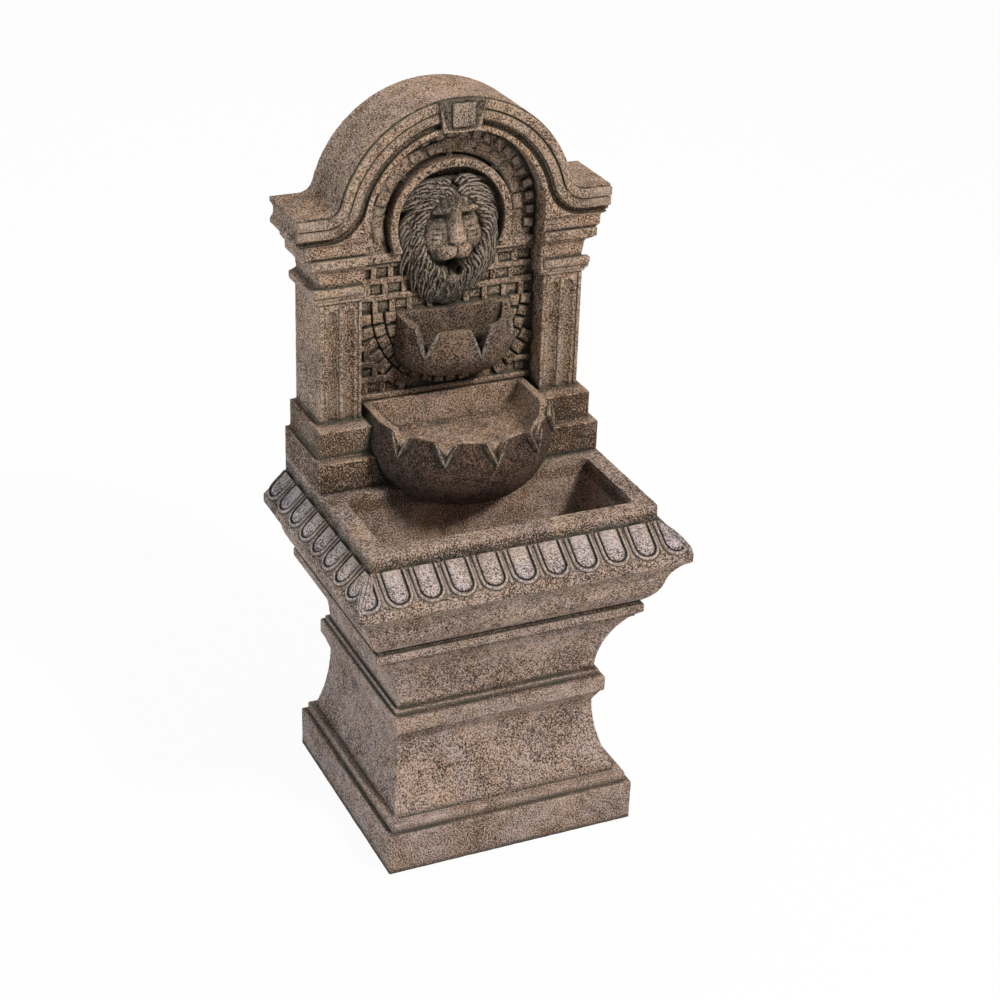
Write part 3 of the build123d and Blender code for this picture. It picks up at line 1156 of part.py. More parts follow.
# Cable grommet in the sill, flanged on both faces
with BuildPart() as cable_grommet:
    grommet_front = WALL_BACK - SILL_DEPTH - GROMMET_FLANGE
    grommet_places = [(GROMMET_X, grommet_front, grommet_z)]
    add(bore(grommet_places, TO_BACK, GROMMET_FLANGE_RADIUS, GROMMET_FLANGE))
    add(bore(grommet_places, TO_BACK, GROMMET_RADIUS, SILL_DEPTH + 2 * GROMMET_FLANGE))
    add(bore([(GROMMET_X, WALL_BACK, grommet_z)], TO_BACK, GROMMET_FLANGE_RADIUS, GROMMET_FLANGE))
    add(bore(grommet_places, TO_BACK, GROMMET_BORE, ROOM), mode=Mode.SUBTRACT)
save(cable_grommet, "cable_grommet")

# Drain plug in the back wall of the chamber
with BuildPart() as drain_plug:
    with BuildSketch(Plane(origin=drain_place, z_dir=TO_BACK)):
        Circle(DRAIN_RADIUS - DRAIN_TAPER)
    with BuildSketch(Plane(origin=drain_place, z_dir=TO_BACK).offset(BASIN_BACK_WALL)):
        Circle(DRAIN_RADIUS)
    loft()
    with BuildSketch(Plane(origin=drain_place, z_dir=TO_BACK).offset(BASIN_BACK_WALL)):
        Circle(DRAIN_FLANGE_RADIUS)
    extrude(amount=DRAIN_FLANGE)
save(drain_plug, "drain_plug")
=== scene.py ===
"""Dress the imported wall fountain: cast-stone shells, carved ornament, lion mask and pump fittings.

Lengths are in metres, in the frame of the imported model: X to the right, the front towards -Y, Z up. A table in
millimetres says so.
"""
import logging
import math
import random
from contextlib import contextmanager
from dataclasses import dataclass, field, replace
from enum import Enum
from typing import Any, Iterator, Sequence

import bpy
import numpy as np
from mathutils import Matrix, Vector


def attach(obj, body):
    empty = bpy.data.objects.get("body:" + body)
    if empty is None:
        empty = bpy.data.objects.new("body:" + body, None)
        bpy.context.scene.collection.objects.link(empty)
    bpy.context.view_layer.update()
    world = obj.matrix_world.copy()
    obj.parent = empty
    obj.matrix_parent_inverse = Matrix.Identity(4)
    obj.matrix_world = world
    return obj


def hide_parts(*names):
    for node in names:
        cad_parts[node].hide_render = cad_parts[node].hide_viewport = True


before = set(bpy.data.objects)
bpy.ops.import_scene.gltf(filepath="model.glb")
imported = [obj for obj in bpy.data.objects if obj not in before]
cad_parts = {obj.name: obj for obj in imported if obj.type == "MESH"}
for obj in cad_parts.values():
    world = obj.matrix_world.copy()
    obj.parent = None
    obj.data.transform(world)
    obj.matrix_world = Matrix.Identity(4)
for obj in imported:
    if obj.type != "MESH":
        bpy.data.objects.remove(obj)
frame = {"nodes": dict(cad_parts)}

logging.basicConfig(level=logging.INFO, format="%(message)s")
LOG = logging.getLogger("fountain")

MM = 0.001
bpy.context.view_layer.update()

Colour = tuple[float, float, float]
Tones = tuple[Colour, Colour, Colour]
Place = tuple[float, float, float]
Pair = tuple[float, float]
Piece = bpy.types.Object

STONE_SLOT = "cast_stone"
DARK_SLOT = "dark_cast_stone"
WHITE = (1.0, 1.0, 1.0, 1.0)
COARSE_GRAIN = 10 * MM
PATCH_GRAIN = 55 * MM
HUE_GRAIN = 30 * MM
WIDE_HOLLOW = 28 * MM
CASTING_DENTS = 9 * MM
SMALL_DENTS = (4 * MM, 0.8 * MM)
MERGE = 0.01 * MM


class Wire:
    """One shader socket; arithmetic on it adds Math nodes."""

    def __init__(self, graph: "Graph", socket: bpy.types.NodeSocket) -> None:
        """Keep the socket and the graph that it belongs to."""
        self.graph = graph
        self.socket = socket

    def math(self, operation: str, *values: Any) -> "Wire":
        """Add a Math node with these values."""
        return self.graph.node("ShaderNodeMath", {"operation": operation}, dict(enumerate(values)))

    def __add__(self, other: Any) -> "Wire":
        """Add a value or socket."""
        return self.math("ADD", self, other)

    def __sub__(self, other: Any) -> "Wire":
        """Take a value or socket away."""
        return self.math("SUBTRACT", self, other)

    def __rsub__(self, other: Any) -> "Wire":
        """Take this away from a value."""
        return self.math("SUBTRACT", other, self)

    def __mul__(self, other: Any) -> "Wire":
        """Multiply by a value or socket."""
        return self.math("MULTIPLY", self, other)

    __radd__ = __add__
    __rmul__ = __mul__

    def __abs__(self) -> "Wire":
        """Drop the sign."""
        return self.math("ABSOLUTE", self)

    def axis(self, name: str) -> "Wire":
        """Take one axis out of a vector."""
        return self.graph.node("ShaderNodeSeparateXYZ", {}, {0: self}, name)

    def vector(self, operation: str, other: Any = (0.0, 0.0, 0.0), outlet: int | str = 0) -> "Wire":
        """Add a Vector Math node with this vector and another."""
        return self.graph.node("ShaderNodeVectorMath", {"operation": operation}, {0: self, 1: other}, outlet)

    def band(self, low: float, high: float) -> "Wire":
        """Give a smooth 0 to 1 step between two values."""
        settings = {"interpolation_type": "SMOOTHSTEP"}
        return self.graph.node("ShaderNodeMapRange", settings, {"Value": self, 1: low, 2: high})


class Graph:
    """The node tree of a material or world, and the one way that nodes get into it."""

    def __init__(self, owner: bpy.types.Material | bpy.types.World) -> None:
        """Empty the owner's node tree."""
        owner.use_nodes = True
        self.owner = owner
        self.tree = owner.node_tree
        self.tree.nodes.clear()

    def node(
        self,
        kind: str,
        settings: dict[str, Any] | None = None,
        inputs: dict[Any, Any] | None = None,
        outlet: int | str = 0,
    ) -> Wire:
        """Add a node.

        Args:
            kind: the node's type.
            settings: its properties, set first; "stops" holds a ramp's places and colours.
            inputs: values or wires by socket name or index.
            outlet: the output to hand back.

        Returns:
            The chosen output.
        """
        node = self.tree.nodes.new(kind)
        for key, value in (settings or {}).items():
            if key == "stops":
                elements = node.color_ramp.elements
                while len(elements) < len(value):
                    elements.new(1.0)
                for stop, (spot, colour) in zip(elements, value):
                    stop.position = spot
                    stop.color = (*colour, 1.0)
            else:
                setattr(node, key, value)
        for key, value in (inputs or {}).items():
            if isinstance(value, Wire):
                self.tree.links.new(value.socket, node.inputs[key])
            else:
                node.inputs[key].default_value = value
        return Wire(self, node.outputs[outlet])

    def place(self) -> Wire:
        """Give the Object coordinates."""
        return self.node("ShaderNodeTexCoord", outlet="Object")

    def geometry(self, outlet: str) -> Wire:
        """Give the surface's Normal or Pointiness."""
        return self.node("ShaderNodeNewGeometry", outlet=outlet)

    def seen(self) -> Wire:
        """Give 1 to the camera's rays and 0 to all others."""
        return self.node("ShaderNodeLightPath", outlet="Is Camera Ray")

    def hollow(self, reach: float) -> Wire:
        """Say from 0 to 1 how much the surface is shut in within a reach."""
        return 1.0 - self.node("ShaderNodeAmbientOcclusion", {"samples": 4}, {"Distance": reach}, "AO")

    def noise(self, place: Wire, grain: float, detail: float = 2.0, rough: float = 0.5) -> Wire:
        """Give a noise value.

        Args:
            place: the coordinates.
            grain: the size of its blobs in metres.
            detail: how many octaves.
            rough: the weight of the finer octaves.

        Returns:
            A value around 0.5.
        """
        inputs = {"Vector": place, "Scale": 1.0 / grain, "Detail": detail, "Roughness": rough}
        return self.node("ShaderNodeTexNoise", {}, inputs)

    def mix(self, factor: Any, first: Any, second: Any) -> Wire:
        """Blend two colours, given as colours or wires."""
        ends = [end if isinstance(end, Wire) else (*end, 1.0) for end in (first, second)]
        return self.node("ShaderNodeMix", {"data_type": "RGBA"}, {0: factor, 6: ends[0], 7: ends[1]}, 2)

    def bump(self, height: Wire, depth: float, strength: float) -> Wire:
        """Turn a height into a normal."""
        return self.node("ShaderNodeBump", {}, {"Height": height, "Distance": depth, "Strength": strength})

    def principled(self, inputs: dict[str, Any]) -> Wire:
        """Add a Principled shader."""
        return self.node("ShaderNodeBsdfPrincipled", {}, inputs)

    def end(self, shader: Wire, kind: str = "Material") -> Any:
        """Link a shader to a new output.

        Args:
            shader: the last shader.
            kind: Material or World.

        Returns:
            The finished material or world.
        """
        output = self.tree.nodes.new("ShaderNodeOutput" + kind)
        self.tree.links.new(shader.socket, output.inputs["Surface"])
        return self.owner


@dataclass(frozen=True)
class DarkBand:
    """A band of darker upright stone between two heights; under the upper bowl it is painted shadow."""

    low: float
    high: float
    strength: float
    softness: float


@dataclass(frozen=True)
class CastStone:
    """Speckled cast stone, pale to deep, with grime and painted shade in its hollows and creases, and wear and a
    painted highlight on its edges.
    """

    name: str
    tones: Tones
    grime_and_shade: Colour = (0.020, 0.015, 0.010)
    moss: Colour = (0.046, 0.052, 0.036)
    grime_and_shade_share: float = 0.82
    moss_share: float = 0.72
    wear_and_highlight_share: float = 0.6
    crease_grime_and_shade: float = 0.7
    contrast: float = 2.9
    grain: float = 1.45 * MM
    hollow_reach: float = 6 * MM
    bump_depth: float = 0.9 * MM
    wear_and_highlight: Colour = (0.47, 0.37, 0.295)
    dark_band: DarkBand | None = None

    def ramp(self, graph: Graph, tone: Wire, tones: Tones) -> Wire:
        """Colour a tone value from the deepest stone to the palest."""
        stops = list(zip((0.33, 0.50, 0.68), reversed(tones)))
        return graph.node("ShaderNodeValToRGB", {"stops": stops}, {"Fac": tone})

    def ground(self, graph: Graph, place: Wire, tone: Wire) -> Wire:
        """Give the clean stone's colour.

        Args:
            graph: the material's graph.
            place: the Object coordinates; not used here.
            tone: the speckle.

        Returns:
            The colour before grime, painted shade and painted highlight.
        """
        return self.ramp(graph, tone, self.tones)

    def build(self) -> bpy.types.Material:
        """Make the material.

        Returns:
            The finished material.
        """
        graph = Graph(bpy.data.materials.new(self.name))
        place = graph.place()
        speck = graph.noise(place, self.grain, 4.0, 0.75)
        coarse = graph.noise(place, COARSE_GRAIN, 3.0, 0.6)
        patch = graph.noise(place, PATCH_GRAIN, 3.0, 0.55)
        tone = self.contrast * (speck - 0.5) + 0.5 + 0.45 * (coarse - 0.5) + 0.5 * (patch - 0.5)
        # Darker band on upright stone between two heights; under the upper bowl it is painted shadow.
        if self.dark_band:
            height = place.axis("Z")
            darkened = (self.dark_band.high - height).band(0.0, self.dark_band.softness)
            darkened = darkened * (height - self.dark_band.low).band(0.0, 4 * MM)
            upright = graph.geometry("Normal").axis("Z").band(0.6, 0.1)
            tone = tone - self.dark_band.strength * darkened * upright * (0.5 + coarse)
        warm = (graph.noise(place, HUE_GRAIN, 2.0, 0.6) + 0.4 * (coarse - 0.5)).band(0.34, 0.66)
        tint = graph.mix(warm, (1.04, 1.0, 0.93), (0.98, 0.995, 1.06))
        colour = self.ground(graph, place, tone).vector("MULTIPLY", tint)
        hollow = 0.32 * graph.hollow(WIDE_HOLLOW) + 0.95 * graph.hollow(self.hollow_reach)
        mossy = (patch + 0.7 * (coarse - 0.5)).band(0.42, 0.6) * hollow.band(0.05, 0.32)
        point = graph.geometry("Pointiness")
        edge = (point - 0.5).band(0.015, 0.09) * (0.25 + 0.9 * coarse)
        # Grime and painted shade darken the hollows and creases; rubbed wear and a painted highlight pale the edges.
        for share, coat in (
            ((hollow * (0.5 + coarse)).band(0.07, 0.6) * self.grime_and_shade_share, self.grime_and_shade),
            (mossy * self.moss_share, self.moss),
            ((0.5 - point).band(0.012, 0.07) * self.crease_grime_and_shade, self.grime_and_shade),
            (edge * self.wear_and_highlight_share, self.wear_and_highlight),
        ):
            colour = graph.mix(share, colour, coat)
        normal = graph.bump(speck + 1.2 * coarse, self.bump_depth, 0.8)
        rough = 0.74 + 0.3 * speck
        inputs = {"Base Color": colour, "Roughness": rough, "Normal": normal, "Specular IOR Level": 0.3}
        return graph.end(graph.principled(inputs))


@dataclass(frozen=True)
class BowlStone(CastStone):
    """Cast stone that is dark outside and sandy where the water stands."""

    axis: Pair = (0.0, 0.0)
    lining: Tones = ((0.60, 0.445, 0.34), (0.32, 0.225, 0.165), (0.09, 0.06, 0.042))

    def ground(self, graph: Graph, place: Wire, tone: Wire) -> Wire:
        """Blend the dark outside with the lining wherever the surface faces the bowl's axis or up."""
        offset = place.vector("SUBTRACT", (*self.axis, 0.0)).vector("MULTIPLY", (1.0, 1.0, 0.0))
        facing = graph.geometry("Normal")
        outward = facing.vector("DOT_PRODUCT", offset.vector("NORMALIZE"), "Value")
        inside = (0.9 * facing.axis("Z") - outward).band(0.1, 0.6)
        return graph.mix(inside, super().ground(graph, place, tone), self.ramp(graph, tone, self.lining))


@dataclass(frozen=True)
class PoolStone(CastStone):
    """Cast stone with a lighter, sandy lining inside the trough, partly painted light; the end walls keep the darker
    stone as painted shade.
    """

    half: float = 113.6 * MM
    front: float = -75.9 * MM
    back: float = 17 * MM
    rim: float = 303 * MM
    lining: Tones = ((0.60, 0.455, 0.365), (0.33, 0.235, 0.182), (0.08, 0.055, 0.041))

    def ground(self, graph: Graph, place: Wire, tone: Wire) -> Wire:
        """Blend in the lighter lining, sandy colour and painted light, on the floor and the long walls of the trough;
        the end walls stay darker as painted shade.
        """
        x, y, z = (place.axis(name) for name in "XYZ")
        inside = (self.rim - z).band(0.0, 3 * MM) * abs(graph.geometry("Normal").axis("X")).band(0.75, 0.35)
        for within in (self.half - abs(x), y - self.front, self.back - y):
            inside = inside * within.band(-1 * MM, 0.5 * MM)
        return graph.mix(inside, super().ground(graph, place, tone), self.ramp(graph, tone, self.lining))


@dataclass(frozen=True)
class MaskStone(CastStone):
    """Cast stone with a dark patina that is worn pale on what stands out most, and painted shade on the left of the
    face.
    """

    worn_from: float = 66 * MM
    worn_to: float = 50 * MM
    patina: Tones = ((0.20, 0.17, 0.14), (0.06, 0.051, 0.042), (0.012, 0.011, 0.009))
    painted_shade_spot: Place = (-18 * MM, 56 * MM, 535 * MM)
    painted_shade_reach: float = 30 * MM
    painted_shade: Colour = (0.030, 0.034, 0.028)

    def ground(self, graph: Graph, place: Wire, tone: Wire) -> Wire:
        """Blend the patina with the worn stone by depth, and paint shade on the brow and cheek on the left."""
        sunk = place.axis("Y").band(self.worn_to, self.worn_from)
        colour = graph.mix(sunk, super().ground(graph, place, tone), self.ramp(graph, tone, self.patina))
        # Painted shade on the left brow and cheek.
        away = place.vector("DISTANCE", self.painted_shade_spot, "Value")
        near = away.band(self.painted_shade_reach, 0.25 * self.painted_shade_reach) * tone.band(1.0, 0.5)
        return graph.mix(near * 0.85, colour, self.painted_shade)


@dataclass(frozen=True)
class ManeStone(CastStone):
    """Cast stone combed into strands that follow each lock, with a painted highlight on the ridges and painted shade
    between them.
    """

    strands: float = 6.0
    painted_relief_shading: float = 0.5

    def ground(self, graph: Graph, place: Wire, tone: Wire) -> Wire:
        """Shift the speckle by where it lies across its lock, painting highlight on the strands' ridges and shade
        between them.
        """
        across = graph.node("ShaderNodeAttribute", {"attribute_name": "across"}, outlet="Fac")
        sway = graph.noise(place, 4 * MM, 3.0, 0.6) - 0.5
        turns = (self.strands * across + 2.0 * sway) * math.tau
        return super().ground(graph, place, tone + 0.5 * self.painted_relief_shading * turns.math("COSINE", turns))


TERRACOTTA = CastStone("terracotta_stone", ((0.53, 0.395, 0.30), (0.245, 0.17, 0.124), (0.036, 0.024, 0.016)))
PEDESTAL_STONE = CastStone("pedestal_stone", ((0.54, 0.415, 0.355), (0.255, 0.184, 0.152), (0.04, 0.028, 0.022)))
BASIN_STONE = PoolStone(
    "basin_stone", ((0.56, 0.43, 0.36), (0.26, 0.188, 0.15), (0.036, 0.026, 0.019)), grime_and_shade_share=0.75,
    dark_band=DarkBand(287 * MM, 302 * MM, 0.15, 5 * MM),
)
WALL_STONE = CastStone(
    "wall_stone", ((0.60, 0.435, 0.325), (0.27, 0.181, 0.13), (0.038, 0.024, 0.015)),
    dark_band=DarkBand(301 * MM, 359 * MM, 0.16, 3 * MM),
)
# Its darker band from 360 to 432 mm is painted shadow under the upper bowl.
BRICK_STONE = CastStone(
    "brick_stone", ((0.44, 0.34, 0.255), (0.17, 0.125, 0.09), (0.025, 0.018, 0.013)),
    dark_band=DarkBand(360 * MM, 432 * MM, 0.14, 30 * MM),
)
# Its darker band from 374 to 432 mm is painted shadow under the upper bowl.
NICHE_STONE = CastStone(
    "niche_stone", ((0.52, 0.385, 0.29), (0.235, 0.163, 0.118), (0.034, 0.023, 0.015)),
    dark_band=DarkBand(374 * MM, 432 * MM, 0.18, 30 * MM),
)
GREY_WASH = CastStone(
    "grey_washed_stone", ((0.66, 0.56, 0.55), (0.386, 0.317, 0.306), (0.056, 0.046, 0.042)), grime_and_shade_share=0.7,
    crease_grime_and_shade=0.5,
)
KEY_FRAME_STONE = CastStone("key_frame_stone", ((0.2, 0.15, 0.115), (0.07, 0.05, 0.038), (0.015, 0.011, 0.008)))
LOWER_BOWL_STONE = BowlStone(
    "lower_bowl_stone", ((0.155, 0.095, 0.066), (0.031, 0.0185, 0.0125), (0.006, 0.0038, 0.0028)),
    axis=(0.0, 37 * MM), grime_and_shade_share=0.7, wear_and_highlight=(0.2, 0.165, 0.135),
)
UPPER_BOWL_STONE = BowlStone(
    "upper_bowl_stone", ((0.26, 0.18, 0.132), (0.085, 0.056, 0.04), (0.015, 0.01, 0.007)), axis=(7 * MM, 72 * MM),
    lining=((0.34, 0.25, 0.19), (0.14, 0.098, 0.072), (0.03, 0.02, 0.014)), wear_and_highlight=(0.4, 0.33, 0.275), wear_and_highlight_share=0.9,
)
# Pale stone for the bowls' ribs: worn stone and a painted highlight along the notch edges.
RIB_HIGHLIGHT_STONE = CastStone(
    "rib_stone", ((0.36, 0.295, 0.242), (0.14, 0.108, 0.085), (0.02, 0.015, 0.012)), wear_and_highlight_share=0.9, wear_and_highlight=(0.4, 0.33, 0.275)
)
MASK_STONE = MaskStone(
    "mask_stone", ((0.48, 0.365, 0.29), (0.225, 0.165, 0.126), (0.045, 0.033, 0.025)), moss_share=0.5, wear_and_highlight_share=0.7,
    crease_grime_and_shade=0.9, contrast=2.2, hollow_reach=3.5 * MM,
)
MANE_STONE = ManeStone(
    "mane_stone", ((0.33, 0.27, 0.222), (0.068, 0.055, 0.045), (0.008, 0.007, 0.006)), moss_share=0.5, crease_grime_and_shade=0.6,
    wear_and_highlight_share=0.4, contrast=2.0, hollow_reach=3 * MM,
)


class Texture(Enum):
    """How a plain finish is worked: the scale of its grain along each axis."""

    EVEN = (1.0, 1.0, 1.0)
    DRAWN = (0.08, 1.0, 1.0)
    GRAINED = (1.0, 1.0, 0.06)


@dataclass(frozen=True)
class PlainFinish:
    """Plastic, rubber, metal, ceramic or wood of one main colour, with its own fine texture."""

    name: str
    colour: Colour
    roughness: float
    metallic: float = 0.0
    texture: Texture = Texture.EVEN
    variation: float = 0.25

    def build(self) -> bpy.types.Material:
        """Make the material.

        Returns:
            The finished material.
        """
        graph = Graph(bpy.data.materials.new(self.name))
        place = graph.node("ShaderNodeMapping", {}, {"Vector": graph.place(), "Scale": self.texture.value})
        fine = graph.noise(place, 0.5 * MM, 3.0, 0.6)
        broad = graph.noise(place, 8 * MM, 3.0, 0.6)
        darker = tuple(channel * (1.0 - self.variation) for channel in self.colour)
        lighter = tuple(min(1.0, channel * (1.0 + self.variation)) for channel in self.colour)
        colour = graph.mix((0.5 * fine + 0.5 * broad).band(0.3, 0.7), darker, lighter)
        rough = self.roughness + 0.25 * (broad - 0.5)
        normal = graph.bump(fine, 0.08 * MM, 0.35)
        inputs = {"Base Color": colour, "Roughness": rough, "Metallic": self.metallic, "Normal": normal}
        return graph.end(graph.principled(inputs))


def pick(*pieces: Piece) -> None:
    """Select only these pieces and make the first one active."""
    bpy.ops.object.select_all(action="DESELECT")
    for piece in pieces:
        piece.select_set(True)
    bpy.context.view_layer.objects.active = pieces[0]


@contextmanager
def editing(piece: Piece) -> Iterator[None]:
    """Open a piece in Edit Mode with all of it selected, and close it afterwards."""
    pick(piece)
    bpy.ops.object.mode_set(mode="EDIT")
    bpy.ops.mesh.select_all(action="SELECT")
    yield
    bpy.ops.object.mode_set(mode="OBJECT")


def extrude(x: float, y: float, z: float) -> None:
    """Extrude what is selected in Edit Mode."""
    bpy.ops.mesh.extrude_region_move(TRANSFORM_OT_translate={"value": (x, y, z)})


def face_outward() -> None:
    """Turn all faces of the piece in Edit Mode outwards."""
    bpy.ops.mesh.select_all(action="SELECT")
    bpy.ops.mesh.normals_make_consistent(inside=False)


def cut_off(spot: Sequence[float], beyond: Sequence[float]) -> None:
    """Cut away what lies beyond a plane in Edit Mode, and close the cut."""
    bpy.ops.mesh.bisect(plane_co=spot, plane_no=beyond, use_fill=True, clear_outer=True)


def apply_modifier(piece: Piece, kind: str, **settings: Any) -> None:
    """Add a modifier to a piece, set it and apply it.

    Args:
        piece: the piece.
        kind: the modifier's type.
        settings: its properties.
    """
    pick(piece)
    modifier = piece.modifiers.new(kind.lower(), kind)
    for key, value in settings.items():
        setattr(modifier, key, value)
    bpy.ops.object.modifier_apply(modifier=modifier.name)


def round_edges(piece: Piece, width: float, segments: int = 4) -> None:
    """Bevel a piece's sharp edges."""
    apply_modifier(piece, "BEVEL", width=width, segments=segments, limit_method="ANGLE", angle_limit=0.5)


def thin_out(piece: Piece, most: int) -> None:
    """Bring a piece down to a number of triangles."""
    triangles = sum(len(face.vertices) - 2 for face in piece.data.polygons)
    if triangles > most:
        apply_modifier(piece, "DECIMATE", ratio=most / triangles)


def points_of(piece: Piece) -> np.ndarray:
    """Give the vertex places of a piece, one row each."""
    flat = np.empty(3 * len(piece.data.vertices))
    piece.data.vertices.foreach_get("co", flat)
    return flat.reshape(-1, 3)


def put_points(piece: Piece, points: np.ndarray) -> None:
    """Set the vertex places of a piece."""
    piece.data.vertices.foreach_set("co", np.asarray(points, dtype=float).ravel())
    piece.data.update()


def new_piece(name: str) -> Piece:
    """Name the primitive that was just added and put its place into its mesh."""
    piece = bpy.context.object
    piece.name = name
    bpy.ops.object.transform_apply(location=True, rotation=True, scale=True)
    return piece


def copy_piece(model: Piece, matrix: Matrix) -> Piece:
    """Copy a piece with a mesh of its own.

    Args:
        model: the piece to copy.
        matrix: where the copy goes.

    Returns:
        The copy.
    """
    twin = bpy.data.objects.new(model.name, model.data.copy())
    twin.data.transform(matrix)
    if matrix.determinant() < 0:
        twin.data.flip_normals()
    bpy.context.scene.collection.objects.link(twin)
    return twin


def join(pieces: Sequence[Piece], name: str) -> Piece:
    """Join pieces into the first one and name the result."""
    pick(*pieces)
    bpy.ops.object.join()
    pieces[0].name = name
    return pieces[0]


def drop(*models: Piece) -> None:
    """Delete models that have been copied."""
    for model in models:
        bpy.data.objects.remove(model)


def roughen(piece: Piece, grain: float, strength: float) -> None:
    """Push a piece's surface in and out by a soft noise.

    Args:
        piece: the piece to roughen.
        grain: the size of the dents.
        strength: how far the noise moves the surface.
    """
    clouds = bpy.data.textures.new(piece.name + "_dents", "CLOUDS")
    clouds.noise_scale = grain
    clouds.noise_depth = 3
    apply_modifier(piece, "DISPLACE", texture=clouds, texture_coords="LOCAL", strength=strength, mid_level=0.5)


def ship(
    piece: Piece, slot: str, finish: CastStone, angle: float, nodes: Sequence[str] = (), body: str = "base"
) -> None:
    """Shade a finished piece and hand it over to the frame.

    Args:
        piece: the piece.
        slot: the record's material slot; not used.
        finish: its finish.
        angle: edges sharper than this stay sharp, in degrees.
        nodes: the CAD nodes that it stands for.
        body: the CAD body that it rides on.
    """
    pick(piece)
    bpy.ops.object.shade_smooth_by_angle(angle=math.radians(angle))
    piece.data.materials.clear()
    piece.data.materials.append(finish.build())
    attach(piece, body)
    if nodes:
        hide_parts(*nodes)
    LOG.info("%s: %d faces on %s", piece.name, len(piece.data.polygons), body)


@dataclass
class Shell:
    """A casting: the CAD solid, softened and pitted as cast stone is."""

    node: str
    slot: str
    finish: CastStone
    voxel: float
    most: int
    soften: int = 1
    dents: float = 0.7 * MM

    def shape(self, points: np.ndarray) -> None:
        """Move the copied solid's points before it is cast; a plain casting keeps them."""

    def build(self) -> None:
        """Make the casting and hand it over to the frame."""
        piece = bpy.data.objects.new(self.node + "_casting", frame["nodes"][self.node].data.copy())
        bpy.context.scene.collection.objects.link(piece)
        with editing(piece):
            bpy.ops.mesh.remove_doubles(threshold=MERGE)
        points = points_of(piece)
        self.shape(points)
        put_points(piece, points)
        apply_modifier(piece, "REMESH", mode="VOXEL", voxel_size=self.voxel, adaptivity=0.0)
        apply_modifier(piece, "SMOOTH", factor=0.5, iterations=self.soften)
        thin_out(piece, self.most)
        roughen(piece, CASTING_DENTS, self.dents)
        ship(piece, self.slot, self.finish, 60.0, [self.node])


@dataclass
class PedestalShell(Shell):
    """The pedestal, with the underside of its band sloped back to the neck."""

    band_foot: float = 106 * MM
    roll_foot: float = 119 * MM
    neck_half: float = 92.4 * MM
    neck_front: float = -61 * MM
    neck_back: float = 104 * MM
    clear: float = 3 * MM
    edge_reach: float = 3.2 * MM

    def shape(self, points: np.ndarray) -> None:
        """Lift the lower edge of the band."""
        outside = np.abs(points[:, 0]) > self.neck_half + self.clear
        outside |= (points[:, 1] < self.neck_front - self.clear) | (points[:, 1] > self.neck_back + self.clear)
        edge = outside & (np.abs(points[:, 2] - self.band_foot) < self.edge_reach)
        points[edge, 2] += self.roll_foot - self.band_foot


@dataclass
class WingedBowl(Shell):
    """A bowl whose rim climbs to the wall on both sides."""

    front: float = 44 * MM
    back: float = 75 * MM
    foot: float = 402 * MM
    rim: float = 432 * MM
    rise: float = 11.5 * MM

    def shape(self, points: np.ndarray) -> None:
        """Lift the rim more and more towards the wall."""
        ahead = np.clip((points[:, 1] - self.front) / (self.back - self.front), 0.0, 1.0)
        share = np.clip((points[:, 2] - self.foot) / (self.rim - self.foot), 0.0, 1.0)
        points[:, 2] += self.rise * ahead**1.3 * share


